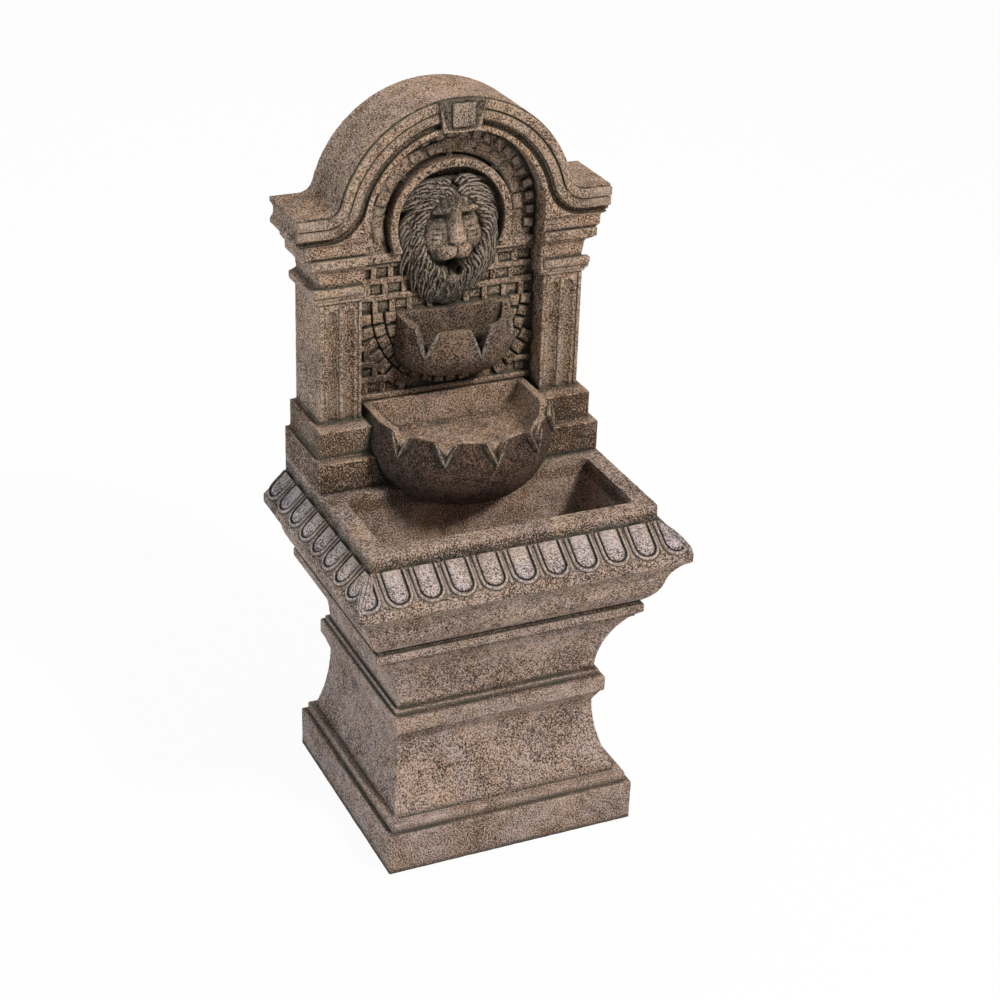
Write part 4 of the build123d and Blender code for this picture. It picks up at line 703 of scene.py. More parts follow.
@dataclass
class Mouldings:
    """Crisp fillets and rolls on the pedestal and on the fronts of the capitals."""

    # Half-width, front, back, foot, top and rounding in mm
    rings: tuple[tuple[float, ...], ...] = (
        (115.2, -101.7, 118.6, 30.0, 38.0, 1.2),
        (110.6, -97.2, 114.0, 36.0, 46.5, 1.2),
        (98.8, -72.4, 113.0, 119.5, 134.0, 2.0),
        (95.4, -65.5, 109.0, 132.0, 138.5, 1.0),
        (123.0, -88.7, 114.6, 203.0, 211.0, 1.0),
        (117.5, -83.2, 111.0, 197.0, 204.0, 1.0),
    )
    # End at the niche, end at the side, front, foot, top and rounding in mm
    strips: tuple[tuple[float, ...], ...] = (
        (79.6, 128.6, 47.0, 496.6, 504.6, 1.0),
        (81.4, 125.2, 49.4, 470.6, 478.2, 3.0),
        (82.0, 121.0, 52.0, 464.6, 467.4, 0.8),
        (82.6, 85.4, 52.6, 359.0, 464.0, 0.8),
        (98.6, 102.4, 52.6, 359.0, 460.0, 1.0),
        (115.6, 119.0, 52.6, 359.0, 464.0, 0.8),
    )
    ring_width: float = 9 * MM
    strip_back: float = 57 * MM

    def ring(self, half: float, front: float, back: float, low: float, high: float, rounding: float) -> Piece:
        """Run a fillet round all four sides of the pedestal.

        Args:
            half: its half-width.
            front: the front face.
            back: the back face.
            low: its lower edge.
            high: its upper edge.
            rounding: the radius of its edges.

        Returns:
            The fillet.
        """
        bpy.ops.mesh.primitive_plane_add(size=1.0)
        piece = new_piece("fillet")
        middle = np.array((0.0, (front + back) / 2, low))
        put_points(piece, middle + points_of(piece) * (2 * half, back - front, 1.0))
        with editing(piece):
            bpy.ops.mesh.inset(thickness=self.ring_width)
            bpy.ops.mesh.delete(type="FACE")
            bpy.ops.mesh.select_all(action="SELECT")
            extrude(0, 0, high - low)
            face_outward()
        round_edges(piece, rounding)
        return piece

    def strip(self, inner: float, outer: float, front: float, low: float, high: float, rounding: float) -> Piece:
        """Run one strip across or along a pilaster and mirror it to the other.

        Args:
            inner: its end at the niche.
            outer: its end at the side.
            front: its face.
            low: its lower edge.
            high: its upper edge.
            rounding: the radius of its edges.

        Returns:
            Both strips.
        """
        bpy.ops.mesh.primitive_cube_add(size=1.0)
        piece = new_piece("strip")
        corner = np.array((inner, front, low))
        put_points(piece, corner + (points_of(piece) + 0.5) * (np.array((outer, self.strip_back, high)) - corner))
        round_edges(piece, rounding)
        apply_modifier(piece, "MIRROR", use_axis=(True, False, False))
        return piece

    def build(self) -> None:
        """Make them all and hand them over to the frame."""
        for name, run, rows, finish in (
            ("pedestal_fillets", self.ring, self.rings, PEDESTAL_STONE),
            ("capital_mouldings", self.strip, self.strips, TERRACOTTA),
        ):
            pieces = [run(*(value * MM for value in row)) for row in rows]
            ship(join(pieces, name), STONE_SLOT, finish, 40.0)


@dataclass
class EggAndDart:
    """Carved band round the slope of the basin: shields with eggs, and darts between them."""

    lip_half: float = 150 * MM
    rim_half: float = 129.3 * MM
    lip_front: float = -118.5 * MM
    rim_front: float = -88.7 * MM
    back: float = 114 * MM
    low: float = 270 * MM
    high: float = 290 * MM
    front_pitch: float = 27.7 * MM
    front_count: int = 11
    front_shift: float = -2.0 * MM
    side_pitch: float = 27.0 * MM
    side_count: int = 8
    shield_half: float = 12.1 * MM
    shield_foot: float = 1.5 * MM
    shield_stop: float = 1.2 * MM
    shield_base: float = 2.0 * MM
    overrun: float = 10 * MM
    dart_radii: Pair = (1.9 * MM, 0.7 * MM)
    dart_share: float = 0.8
    dart_middle: float = 0.55
    leaf_half: Pair = (4.0 * MM, 3.0 * MM)
    leaf_share: float = 0.46
    leaf_ribs: float = 0.35
    sunk: float = 0.6 * MM
    mitre_gap: float = 0.8 * MM
    back_gap: float = 0.5 * MM
    # Inset and rise of each step from the shield's rim to the crown of its egg, in mm
    steps: tuple[Pair, ...] = (
        (0.7, 0.8), (0.7, 0.3), (0.7, -0.3), (0.6, -2.1), (0.9, 0.0), (0.7, 1.6), (1.6, 0.9), (1.6, 0.4)
    )

    def shield(self, length: float) -> Piece:
        """Model one shield in the XY plane: round foot at Y 0, square head at the length.

        Args:
            length: the slope's length.

        Returns:
            The model.
        """
        radius = self.shield_half
        bpy.ops.mesh.primitive_circle_add(vertices=32, radius=radius, fill_type="NGON", location=(0, radius, 0))
        piece = new_piece("egg_shield")
        points = points_of(piece)
        upper = points[:, 1] > radius * 1.02
        corner = upper & (np.abs(points[:, 0]) > 0.95 * radius)
        points[upper, 0] *= 0.2
        points[corner, 0] = np.sign(points[corner, 0]) * radius
        points[upper, 1] = length + self.overrun
        points[:, 1] += self.shield_foot
        put_points(piece, points)
        with editing(piece):
            extrude(0, 0, self.shield_base)
            for inset, rise in self.steps:
                bpy.ops.mesh.inset(thickness=inset * MM, depth=rise * MM)
            face_outward()
            cut_off((0, length - self.shield_stop, 0), (0, 1, 0))
        return piece

    def dart(self, length: float) -> Piece:
        """Model one dart in the XY plane, a slim ridge that widens downwards to a point.

        Args:
            length: the slope's length.

        Returns:
            The model.
        """
        foot, head = self.dart_radii
        bpy.ops.mesh.primitive_cone_add(vertices=8, radius1=foot, radius2=head, depth=length * self.dart_share)
        piece = new_piece("dart")
        points = points_of(piece)[:, [0, 2, 1]] * (1.0, 1.0, 0.8)
        points[:, 1] += length * self.dart_middle
        put_points(piece, points)
        piece.data.flip_normals()
        return piece

    def run(self, start: Vector, along: Vector, up: Vector, count: int, pitch: float) -> Piece:
        """Set shields and darts along one side.

        Args:
            start: the foot of the first shield's middle.
            along: the direction of the run.
            up: the way up the slope, as long as the slope.
            count: how many shields.
            pitch: their spacing.

        Returns:
            The run as one piece.
        """
        rise = up.normalized()
        out = along.cross(rise)
        axes = Matrix((along, rise, out)).transposed().to_4x4()
        shield, dart = self.shield(up.length), self.dart(up.length)
        pieces = []
        for index in range(count):
            spot = start + along * (index * pitch) - out * self.sunk
            pieces.append(copy_piece(shield, Matrix.Translation(spot) @ axes))
            if index:
                spot -= along * (pitch / 2)
                pieces.append(copy_piece(dart, Matrix.Translation(spot) @ axes))
        drop(shield, dart)
        return join(pieces, "egg_run")

    def trim(self, piece: Piece, side: int, beyond: Vector) -> None:
        """Cut a run off at a corner's mitre.

        Args:
            piece: the run.
            side: +1 for the right corner, -1 for the left.
            beyond: the way to the half that goes.
        """
        corner = Vector((side * self.rim_half, self.rim_front, self.high))
        mitre = Vector((side * (self.lip_half - self.rim_half), self.lip_front - self.rim_front, 0))
        outward = mitre.cross(Vector((0, 0, side))).normalized()
        if outward.dot(beyond) < 0:
            outward = -outward
        with editing(piece):
            cut_off(corner - outward * self.mitre_gap, outward)

    def leaf(self, side: int) -> Piece:
        """Model the ribbed leaf on a corner's mitre.

        Args:
            side: +1 for the right corner, -1 for the left.

        Returns:
            The leaf.
        """
        top = Vector((side * self.rim_half, self.rim_front, self.high))
        foot = Vector((side * self.lip_half, self.lip_front, self.low))
        bpy.ops.mesh.primitive_uv_sphere_add(segments=24, ring_count=14, radius=1.0)
        piece = new_piece("corner_leaf")
        points = points_of(piece)
        ribs = 1.0 + self.leaf_ribs * np.abs(np.sin(4 * np.arctan2(points[:, 1], points[:, 0])))
        reach = np.full(len(points), (top - foot).length * self.leaf_share)
        points *= np.stack([*(half * ribs for half in self.leaf_half), reach], 1)
        axis = (top - foot).normalized()
        across = axis.cross(Vector((0, 0, 1))).normalized()
        axes = Matrix((across, across.cross(axis), axis)).transposed()
        put_points(piece, points @ np.array(axes).T + np.array((top + foot) / 2))
        if axes.determinant() < 0:
            piece.data.flip_normals()
        return piece

    def build(self) -> None:
        """Make the whole band and hand it over to the frame."""
        rise = self.high - self.low
        half_run = (self.front_count - 1) / 2 * self.front_pitch
        start = Vector((self.front_shift - half_run, self.lip_front, self.low))
        up = Vector((0, self.rim_front - self.lip_front, rise))
        runs = [self.run(start, Vector((1, 0, 0)), up, self.front_count, self.front_pitch)]
        for side in (-1, 1):
            self.trim(runs[0], side, Vector((side, 0, 0)))
        first = self.back - self.side_pitch / 2 - self.back_gap
        last = first - (self.side_count - 1) * self.side_pitch
        for side in (-1, 1):
            start = Vector((side * self.lip_half, first if side < 0 else last, self.low))
            up = Vector((side * (self.rim_half - self.lip_half), 0, rise))
            run = self.run(start, Vector((0, side, 0)), up, self.side_count, self.side_pitch)
            self.trim(run, side, Vector((0, -1, 0)))
            runs += [run, self.leaf(side)]
        ship(join(runs, "egg_and_dart_band"), STONE_SLOT, GREY_WASH, 35.0)


@dataclass
class NicheMasonry:
    """Brick courses, fan bricks and voussoirs set on the niche panel."""

    field_y: float = 75 * MM
    half_width: float = 80.5 * MM
    foot: float = 371 * MM
    impost: float = 489 * MM
    course: float = 14.75 * MM
    joint: float = 5.2 * MM
    seam: float = 0.3 * MM
    string: float = 5.4 * MM
    proud: float = 4.6 * MM
    sunk: float = 1.6 * MM
    brick_width: Pair = (14, 18.5)
    stagger: float = 8 * MM
    least_width: float = 5 * MM
    tilt: float = 3.5
    dents: Pair = (5 * MM, 1.7 * MM)
    arch_z: float = 521.5 * MM
    arch_span: Pair = (math.radians(-14), math.radians(194))
    # Inner and outer radius, count, share of the joints, and height
    arch_rings: tuple[tuple[float, float, int, float, float], ...] = (
        (57.6 * MM, 68.8 * MM, 15, 0.10, 7.5 * MM), (69.4 * MM, 78.6 * MM, 23, 0.36, 9.5 * MM)
    )
    fan: Pair = (7 * MM, 444 * MM)
    fan_clear: float = 8 * MM
    fan_joint: float = 1.2 * MM
    # Inner and outer radius, and count
    fan_rings: tuple[tuple[float, float, int], ...] = (
        (52 * MM, 62 * MM, 15), (63.5 * MM, 73 * MM, 19), (74.5 * MM, 86 * MM, 21)
    )

    dice: random.Random = field(default_factory=lambda: random.Random(11))
    block: Piece | None = None

    def model(self) -> Piece:
        """Model one block, a unit cube with worn edges.

        Returns:
            The block.
        """
        bpy.ops.mesh.primitive_cube_add(size=1.0)
        piece = new_piece("block")
        with editing(piece):
            bpy.ops.mesh.bevel(offset=0.13, segments=2, affect="EDGES")
            bpy.ops.mesh.select_all(action="SELECT")
            bpy.ops.mesh.subdivide(number_cuts=1)
        return piece

    def brick(self, x: float, z: float, width: float, height: float, proud: float) -> Piece:
        """Set one brick or joint on the field, slightly out of line.

        Args:
            x: its middle across.
            z: its middle up.
            width: its width.
            height: its height.
            proud: about how far it stands off the field.

        Returns:
            The brick.
        """
        lift = proud * self.dice.uniform(0.8, 1.15)
        turn = Matrix.Rotation(math.radians(self.dice.uniform(-self.tilt, self.tilt)), 4, "Y")
        size = Matrix.Diagonal((width, 2 * lift, height, 1.0))
        return copy_piece(self.block, Matrix.Translation((x, self.field_y, z)) @ turn @ size)

    def wedge(self, centre: Pair, reach: Pair, span: Pair, lift: float) -> Piece:
        """Bend one block into a wedge.

        Args:
            centre: the fan's centre across and up.
            reach: its inner and outer radius.
            span: its angles in radians.
            lift: how far it stands off the field.

        Returns:
            The wedge.
        """
        piece = copy_piece(self.block, Matrix.Identity(4))
        unit = points_of(piece) + 0.5
        angle = span[0] + (span[1] - span[0]) * (1.0 - unit[:, 0])
        radius = reach[0] + (reach[1] - reach[0]) * unit[:, 2]
        depth = self.field_y + lift * (2.0 * unit[:, 1] - 1.0)
        across, up = centre[0] + radius * np.cos(angle), centre[1] + radius * np.sin(angle)
        put_points(piece, np.stack([across, depth, up], 1))
        return piece

    def in_fan(self, x: float, z: float) -> bool:
        """Say whether a point lies in the fan below the upper bowl, where no course runs."""
        reach = math.hypot(x - self.fan[0], z - self.fan[1])
        return z < self.fan[1] - self.fan_clear and reach < self.fan_rings[-1][1]

    def courses(self) -> tuple[list[Piece], list[Piece]]:
        """Lay the brick courses and the proud joints between them.

        Returns:
            The bricks and the joints.
        """
        bricks, joints = [], []
        tall = self.course - self.string - 2 * self.seam
        for row in range(round((self.impost - self.foot) / self.course)):
            z = self.foot + row * self.course + self.seam + tall / 2
            string_z = z + (tall + self.string) / 2 + self.seam
            left = -self.half_width + (0 if row % 2 else -self.stagger)
            while left < self.half_width - 4 * MM:
                right = left + self.dice.uniform(*self.brick_width) * MM
                low, high = max(left, -self.half_width), min(right, self.half_width)
                middle, wide = (low + high) / 2, high - low
                if wide > self.least_width and not self.in_fan(middle, z):
                    bricks.append(self.brick(middle, z, wide - self.joint, tall, self.sunk))
                    joints.append(self.brick(middle, string_z, wide + 1 * MM, self.string, self.proud))
                    if high < self.half_width - 2 * MM:
                        joints.append(self.brick(high, z, self.joint, self.course, self.proud * 0.8))
                left = right
        return bricks, joints

    def fans(self) -> list[Piece]:
        """Lay the fan of bricks below the upper bowl and the voussoirs above the mask.

        Returns:
            The bricks.
        """
        bricks = []
        for inner, outer, count in self.fan_rings:
            step = math.pi / count
            mean = (inner + outer) / 2
            gap = self.fan_joint / mean
            for index in range(count):
                start = math.pi + index * step
                middle = start + step / 2
                x, z = self.fan[0] + mean * math.cos(middle), self.fan[1] + mean * math.sin(middle)
                if abs(x) < self.half_width - 3 * MM and z > self.foot + 2 * MM:
                    lift = self.proud * self.dice.uniform(0.8, 1.2)
                    bricks.append(self.wedge(self.fan, (inner, outer), (start + gap, start + step - gap), lift))
        first, last = self.arch_span
        for inner, outer, count, gap, lift in self.arch_rings:
            step = (last - first) / count
            for index in range(count):
                start = first + step * (index + self.dice.uniform(-0.1, 0.1))
                reach = (inner + self.dice.uniform(-0.6, 0.6) * MM, outer - self.dice.uniform(0, 1.8) * MM)
                span = (start + step * gap / 2, start + step * (1 - gap / 2))
                bricks.append(self.wedge((0.0, self.arch_z), reach, span, lift * self.dice.uniform(0.75, 1.15)))
        return bricks

    def build(self) -> None:
        """Make all the masonry and hand it over to the frame."""
        self.block = self.model()
        bricks, joints = self.courses()
        joints += self.fans()
        drop(self.block)
        for name, blocks, finish in (("niche_bricks", bricks, BRICK_STONE), ("niche_masonry", joints, NICHE_STONE)):
            masonry = join(blocks, name)
            roughen(masonry, *self.dents)
            ship(masonry, STONE_SLOT, finish, 45.0)


@dataclass
class Archivolt:
    """Fascias round the arch that sweep out flat along the cornice."""

    centre_z: float = 523 * MM
    front_y: float = 47.5 * MM
    radius: float = 107 * MM
    sweep_radius: float = 13 * MM
    drop: float = 18 * MM
    cornice_end: float = 139.5 * MM
    bedded: float = 1.5 * MM
    rounding: float = 0.7 * MM
    # Inner and outer radius, and height
    bands: tuple[Place, ...] = ((98.2 * MM, 105.6 * MM, 2.2 * MM), (89.6 * MM, 97.0 * MM, 1.3 * MM))

    def band(self, inner: float, outer: float, proud: float) -> Piece:
        """Run one fascia from the crown to the end of the cornice and mirror it.

        Args:
            inner: its inner radius.
            outer: its outer radius.
            proud: how far it stands off the arch's face.

        Returns:
            The fascia.
        """
        reach = self.radius + self.sweep_radius
        sweep_z = self.centre_z + self.drop + self.sweep_radius
        sweep_x = math.sqrt(reach**2 - (self.drop + self.sweep_radius) ** 2)
        turn = math.atan2(sweep_x, self.drop + self.sweep_radius)
        bpy.ops.mesh.primitive_plane_add(size=1.0, rotation=(0, math.pi / 2, 0))
        piece = new_piece("fascia")
        depth = proud + self.bedded
        points = points_of(piece)
        points *= (1.0, depth, outer - inner)
        points += (0.0, self.front_y - proud + depth / 2, self.centre_z + (inner + outer) / 2)
        put_points(piece, points)
        with editing(piece):
            bpy.ops.mesh.bevel(offset=self.rounding, segments=2, affect="VERTICES")
            bpy.ops.mesh.select_all(action="SELECT")
            bpy.ops.mesh.spin(steps=28, angle=-turn, center=(0, 0, self.centre_z), axis=(0, 1, 0))
            bpy.ops.mesh.spin(steps=12, angle=turn, center=(sweep_x, 0, sweep_z), axis=(0, 1, 0))
            extrude(self.cornice_end - sweep_x, 0, 0)
            face_outward()
        apply_modifier(piece, "MIRROR", use_axis=(True, False, False), merge_threshold=0.05 * MM)
        return piece

    def build(self) -> None:
        """Make the fascias and hand them over to the frame."""
        fascias = join([self.band(*band) for band in self.bands], "archivolt_fascias")
        ship(fascias, STONE_SLOT, TERRACOTTA, 50.0)


@dataclass(frozen=True)
class Notch:
    """A bowl's notch: its axis across, its angle from the front in degrees, and its foot's radius and height."""

    axis_x: float
    angle: float
    foot: Pair


@dataclass
class NotchRibs:
    """Ribs along both edges of a bowl's notches."""

    name: str
    finish: CastStone
    axis_y: float
    notches: Sequence[Notch]
    half_width: float
    head: Pair
    thickness: float

    def spot(self, axis_x: float, angle: float, radius: float, z: float) -> Vector:
        """Give a point on the bowl, with the angle counted from the front."""
        return Vector((axis_x + radius * math.sin(angle), self.axis_y - radius * math.cos(angle), z))

    def build(self) -> None:
        """Make the ribs of all the notches and hand them over to the frame."""
        bpy.ops.mesh.primitive_uv_sphere_add(segments=10, ring_count=10, radius=1.0)
        model = new_piece("rib")
        ribs = []
        for notch in self.notches:
            middle = math.radians(notch.angle)
            foot = self.spot(notch.axis_x, middle, *notch.foot)
            for side in (-1, 1):
                angle = middle + side * math.asin(self.half_width / self.head[0])
                head = self.spot(notch.axis_x, angle, *self.head)
                along = head - foot
                turn = along.to_track_quat("Z", "Y").to_matrix().to_4x4()
                size = Matrix.Diagonal((self.thickness, self.thickness, along.length * 0.57, 1.0))
                ribs.append(copy_piece(model, Matrix.Translation((foot + head) / 2) @ turn @ size))
        drop(model)
        piece = join(ribs, self.name)
        apply_modifier(piece, "SUBSURF", levels=1)
        roughen(piece, *SMALL_DENTS)
        ship(piece, DARK_SLOT, self.finish, 60.0)


@dataclass
class Keystone:
    """The wedge at the crown of the arch, with a sunk panel."""

    # Half-widths at the top and the foot, top, foot and front in mm
    panel: tuple[float, ...] = (10.0, 9.6, 626.8, 607.4, 40.6)
    frame: tuple[float, ...] = (20.9, 12.8, 629.2, 604.4, 42.8)
    back: float = 47 * MM
    rounding: float = 0.9 * MM

    def wedge(self, name: str, top_half: float, foot_half: float, top: float, foot: float, front: float) -> Piece:
        """Model a wedge with worn edges.

        Args:
            name: its name.
            top_half: half its width at the top.
            foot_half: half its width at the foot.
            top: its upper edge.
            foot: its lower edge.
            front: its face.

        Returns:
            The wedge.
        """
        bpy.ops.mesh.primitive_cube_add(size=1.0)
        piece = new_piece(name)
        points = points_of(piece)
        half = np.where(points[:, 2] > 0, top_half, foot_half)
        y = np.where(points[:, 1] > 0, self.back, front)
        z = np.where(points[:, 2] > 0, top, foot)
        put_points(piece, np.stack([2 * points[:, 0] * half, y, z], 1))
        round_edges(piece, self.rounding, 3)
        apply_modifier(piece, "SUBSURF", levels=3, subdivision_type="SIMPLE")
        roughen(piece, *SMALL_DENTS)
        return piece

    def build(self) -> None:
        """Make the frame and its panel and hand them over to the frame of the model."""
        for name, row, finish in (
            ("keystone_frame", self.frame, KEY_FRAME_STONE), ("keystone_panel", self.panel, BRICK_STONE)
        ):
            ship(self.wedge(name, *(value * MM for value in row)), STONE_SLOT, finish, 40.0)


@dataclass(frozen=True)
class Lump:
    """A rounded mass of the lion's head, in mm and degrees; one off the middle has a twin on the other side."""

    x: float
    out: float
    up: float
    wide: float
    deep: float
    tall: float
    pitch: float = 0.0


@dataclass(frozen=True)
class Stroke:
    """A push of the modelling tool: its middle, reach and depth in mm; negative depths raise the surface."""

    x: float
    up: float
    wide: float
    tall: float
    depth: float


@dataclass
class LionMask:
    """The spout head: a long face, an open mouth round the pipe and a mane of wavy locks.

    Lumps, strokes, ovals and rings are in mm.
    """

    field_y: float = 75 * MM
    mouth_z: float = 484 * MM
    pipe_radius: float = 5.3 * MM
    throat_y: float = 62 * MM
    throat_rim: float = 2.8 * MM
    throat_slope: float = 2.2 * MM
    carved_from: float = 9 * MM
    middle_up: float = 28.0
    face_half: Place = (27.5, 34.0, 36.0)
    mane_half: Place = (46.0, 50.0, 65.0)
    voxel: float = 0.55 * MM
    most: int = 185_000
    swirl: Pair = (24, 36)
    combs: int = 6
    comb_depth: float = 0.13
    levels: int = 10
    lumps: tuple[Lump, ...] = (
        Lump(0, 2, 21, 42, 10, 52),
        Lump(0, 4, -10, 27, 11, 30),
        Lump(0, 7, 30, 28.5, 15, 38),
        Lump(0, 13.5, 51, 19, 8.5, 13),
        Lump(0, 20.5, 40, 6.4, 6.0, 19, -17),
        Lump(2.6, 20.0, 38, 4.6, 5.6, 18, -17),
        Lump(0, 27.0, 25.0, 7.2, 4.6, 5.0),
        Lump(0, 20.5, 17, 11, 7.6, 9.5),
        Lump(6.2, 19.0, 13.0, 9.6, 8.2, 8.2),
        Lump(14.5, 13.2, 23.5, 12.5, 9.0, 13.5),
        Lump(11.5, 18.8, 48.6, 9.6, 5.4, 3.8),
        Lump(0, 13, -11, 11, 8.5, 8),
    )
    strokes: tuple[Stroke, ...] = (
        Stroke(12.0, 41.0, 6.6, 4.4, 8.0),
        Stroke(12.0, 40.2, 3.2, 2.2, -4.6),
        Stroke(12.0, 36.6, 5.0, 0.9, -1.8),
        Stroke(7.0, 37.0, 2.0, 6.0, 1.2),
        Stroke(3.9, 21.6, 2.0, 1.5, 3.2),
        Stroke(13.6, 12.0, 1.3, 7.0, 1.8),
        Stroke(16.6, 17.0, 1.0, 7.0, 1.2),
        Stroke(19.6, 23.0, 1.0, 8.0, 1.3),
        Stroke(15.0, 32.5, 6.0, 0.9, 1.4),
        Stroke(17.0, 28.5, 6.0, 0.9, 1.4),
        Stroke(19.0, 24.5, 5.0, 0.9, 1.4),
        Stroke(11.0, 26.0, 0.9, 5.0, 1.2),
        Stroke(6.5, 55.0, 1.1, 5.0, 1.5),
        Stroke(12.5, 54.0, 1.1, 5.0, 1.5),
        Stroke(7.0, 11.5, 0.8, 0.8, 1.2),
        Stroke(9.6, 13.6, 0.8, 0.8, 1.2),
    )
    middle_strokes: tuple[Stroke, ...] = (
        Stroke(0, 14.5, 0.9, 5.5, 1.8),
        Stroke(0, 56.0, 1.2, 6.0, 1.8),
        Stroke(1.0, 1.0, 11.0, 5.0, 8.0),
        Stroke(0, -8.5, 8.0, 1.6, -1.8),
    )
    # Count of locks, their reach from the face's edge to the mane's, how far they stand off, and their half-width
    rings: tuple[tuple[int, Pair, Pair, float], ...] = (
        (34, (0.24, 1.05), (11.0, 4.0), 4.4),
        (30, (-0.16, 0.68), (16.0, 11.5), 4.2),
    )

    def rim(self, half: Place, angle: np.ndarray) -> np.ndarray:
        """Give points on an oval that is deeper below its middle than above.

        Args:
            half: its half-width and its reach above and below, in mm.
            angle: the angles from the top, in radians.

        Returns:
            The places across and up, in mm, one row each.
        """
        reach = np.where(np.cos(angle) > 0, half[1], half[2])
        return np.stack([half[0] * np.sin(angle), self.middle_up + reach * np.cos(angle)], 1)

    def head(self) -> list[Piece]:
        """Model the masses of the head.

        Returns:
            The masses.
        """
        bpy.ops.mesh.primitive_uv_sphere_add(segments=40, ring_count=24, radius=1.0)
        model = new_piece("head_lump")
        masses = []
        for lump in self.lumps:
            for x in (lump.x, -lump.x) if lump.x else (0.0,):
                spot = Vector((x * MM, self.field_y - lump.out * MM, self.mouth_z + lump.up * MM))
                turn = Matrix.Rotation(math.radians(lump.pitch), 4, "X")
                size = Matrix.Diagonal((lump.wide * MM, lump.deep * MM, lump.tall * MM, 1.0))
                masses.append(copy_piece(model, Matrix.Translation(spot) @ turn @ size))
        drop(model)
        return masses

    def lock(self, model: Piece, angle: float, reach: Pair, out: Pair, width: float, dice: random.Random) -> Piece:
        """Bend the model lock into one of the mane's locks.

        Args:
            model: the straight lock, one unit long along Z.
            angle: where it springs from, from the top, in radians.
            reach: its start and end between the face's edge at 0 and the mane's at 1.
            out: how far its ends stand off the field, in mm.
            width: its half-width at the root, in mm.
            dice: the source of small differences.

        Returns:
            The lock.
        """
        piece = copy_piece(model, Matrix.Identity(4))
        unit = points_of(piece)
        from_top = math.remainder(angle, 2 * math.pi)
        ease = min(1.0, max(0.1, (2.9 - abs(from_top)) / 1.2))
        swirl = math.copysign(math.radians(dice.uniform(*self.swirl)) * ease, from_top)
        steps = np.linspace(0.0, 1.0, 41)
        wave = np.sin(2.2 * math.pi * steps + 6 * angle + dice.uniform(-0.5, 0.5))
        turned = angle + swirl * steps**1.6 + 0.03 * wave
        share = (reach[0] + (reach[1] - reach[0]) * steps)[:, None]
        spine = self.rim(self.face_half, turned) * (1.0 - share) + self.rim(self.mane_half, turned) * share
        sunk = 4.0 * (1.0 - np.minimum(1.0, steps / 0.22))
        lift = out[0] + (out[1] - out[0]) * steps + 2.2 * np.sin(math.pi * steps) - sunk
        along = np.gradient(spine, axis=0)
        along /= np.linalg.norm(along, axis=1)[:, None]
        place = unit[:, 2]
        taper = width * np.minimum(1.0, 0.4 + 3.0 * place) * (1.0 - 0.8 * place**2.5)
        across = unit[:, 0] * taper
        x = np.interp(place, steps, spine[:, 0]) + across * np.interp(place, steps, along[:, 1])
        up = np.interp(place, steps, spine[:, 1]) - across * np.interp(place, steps, along[:, 0])
        depth = np.interp(place, steps, lift) - 0.9 * unit[:, 1] * taper
        put_points(piece, np.stack([x * MM, self.field_y - depth * MM, self.mouth_z + up * MM], 1))
        return piece

    def mane(self) -> list[Piece]:
        """Lay the locks in overlapping rings; the lowest make the beard.

        Returns:
            The locks.
        """
        dice = random.Random(5)
        bpy.ops.mesh.primitive_cylinder_add(vertices=36, radius=1.0, depth=1.0, location=(0, 0, 0.5))
        model = new_piece("lock")
        with editing(model):
            for level in range(1, self.levels):
                bpy.ops.mesh.bisect(plane_co=(0, 0, level / self.levels), plane_no=(0, 0, 1))
                bpy.ops.mesh.select_all(action="SELECT")
        points = points_of(model)
        turns = np.arctan2(points[:, 0], -points[:, 1]) / math.tau
        points[:, :2] *= (1.0 + self.comb_depth * np.cos(self.combs * math.tau * turns))[:, None]
        put_points(model, points)
        model.data.attributes.new("across", "FLOAT", "POINT").data.foreach_set("value", turns)
        locks = []
        for count, reach, out, width in self.rings:
            for index in range(count):
                angle = 2 * math.pi * (index + dice.uniform(0.3, 0.7)) / count
                stretch = dice.uniform(0.9, 1.08)
                locks.append(self.lock(model, angle, (reach[0], reach[1] * stretch), out, width * stretch, dice))
        drop(model)
        return locks

    def carve(self, piece: Piece) -> None:
        """Push in eye sockets, nostrils, lips and mouth, and raise eyes and lids.

        Args:
            piece: the head.
        """
        points = points_of(piece)
        front = points[:, 1] < self.field_y - self.carved_from
        mirrored = tuple(replace(stroke, x=-stroke.x) for stroke in self.strokes)
        for stroke in self.strokes + mirrored + self.middle_strokes:
            across = (points[:, 0] / MM - stroke.x) / stroke.wide
            along = ((points[:, 2] - self.mouth_z) / MM - stroke.up) / stroke.tall
            points[:, 1] += np.where(front, stroke.depth * MM * np.exp(-(across**2 + along**2)), 0.0)
        radius = np.hypot(points[:, 0], points[:, 2] - self.mouth_z)
        throat = np.clip((self.pipe_radius + self.throat_rim - radius) / self.throat_slope, 0.0, 1.0)
        depth = np.maximum(self.throat_y - points[:, 1], 0.0)
        points[:, 1] += np.where(front, depth * throat, 0.0)
        put_points(piece, points)

    def build(self) -> None:
        """Make the mane and the head and hand them over to the frame."""
        ship(join(self.mane(), "lion_mane"), DARK_SLOT, MANE_STONE, 60.0)
        piece = join(self.head(), "lion_head")
        apply_modifier(piece, "REMESH", mode="VOXEL", voxel_size=self.voxel)
        apply_modifier(piece, "SMOOTH", factor=0.5, iterations=2)
        self.carve(piece)
        apply_modifier(piece, "SMOOTH", factor=0.5, iterations=1)
        with editing(piece):
            cut_off((0, self.field_y, 0), (0, 1, 0))
        thin_out(piece, self.most)
        ship(piece, DARK_SLOT, MASK_STONE, 70.0, ["lion_mask"])


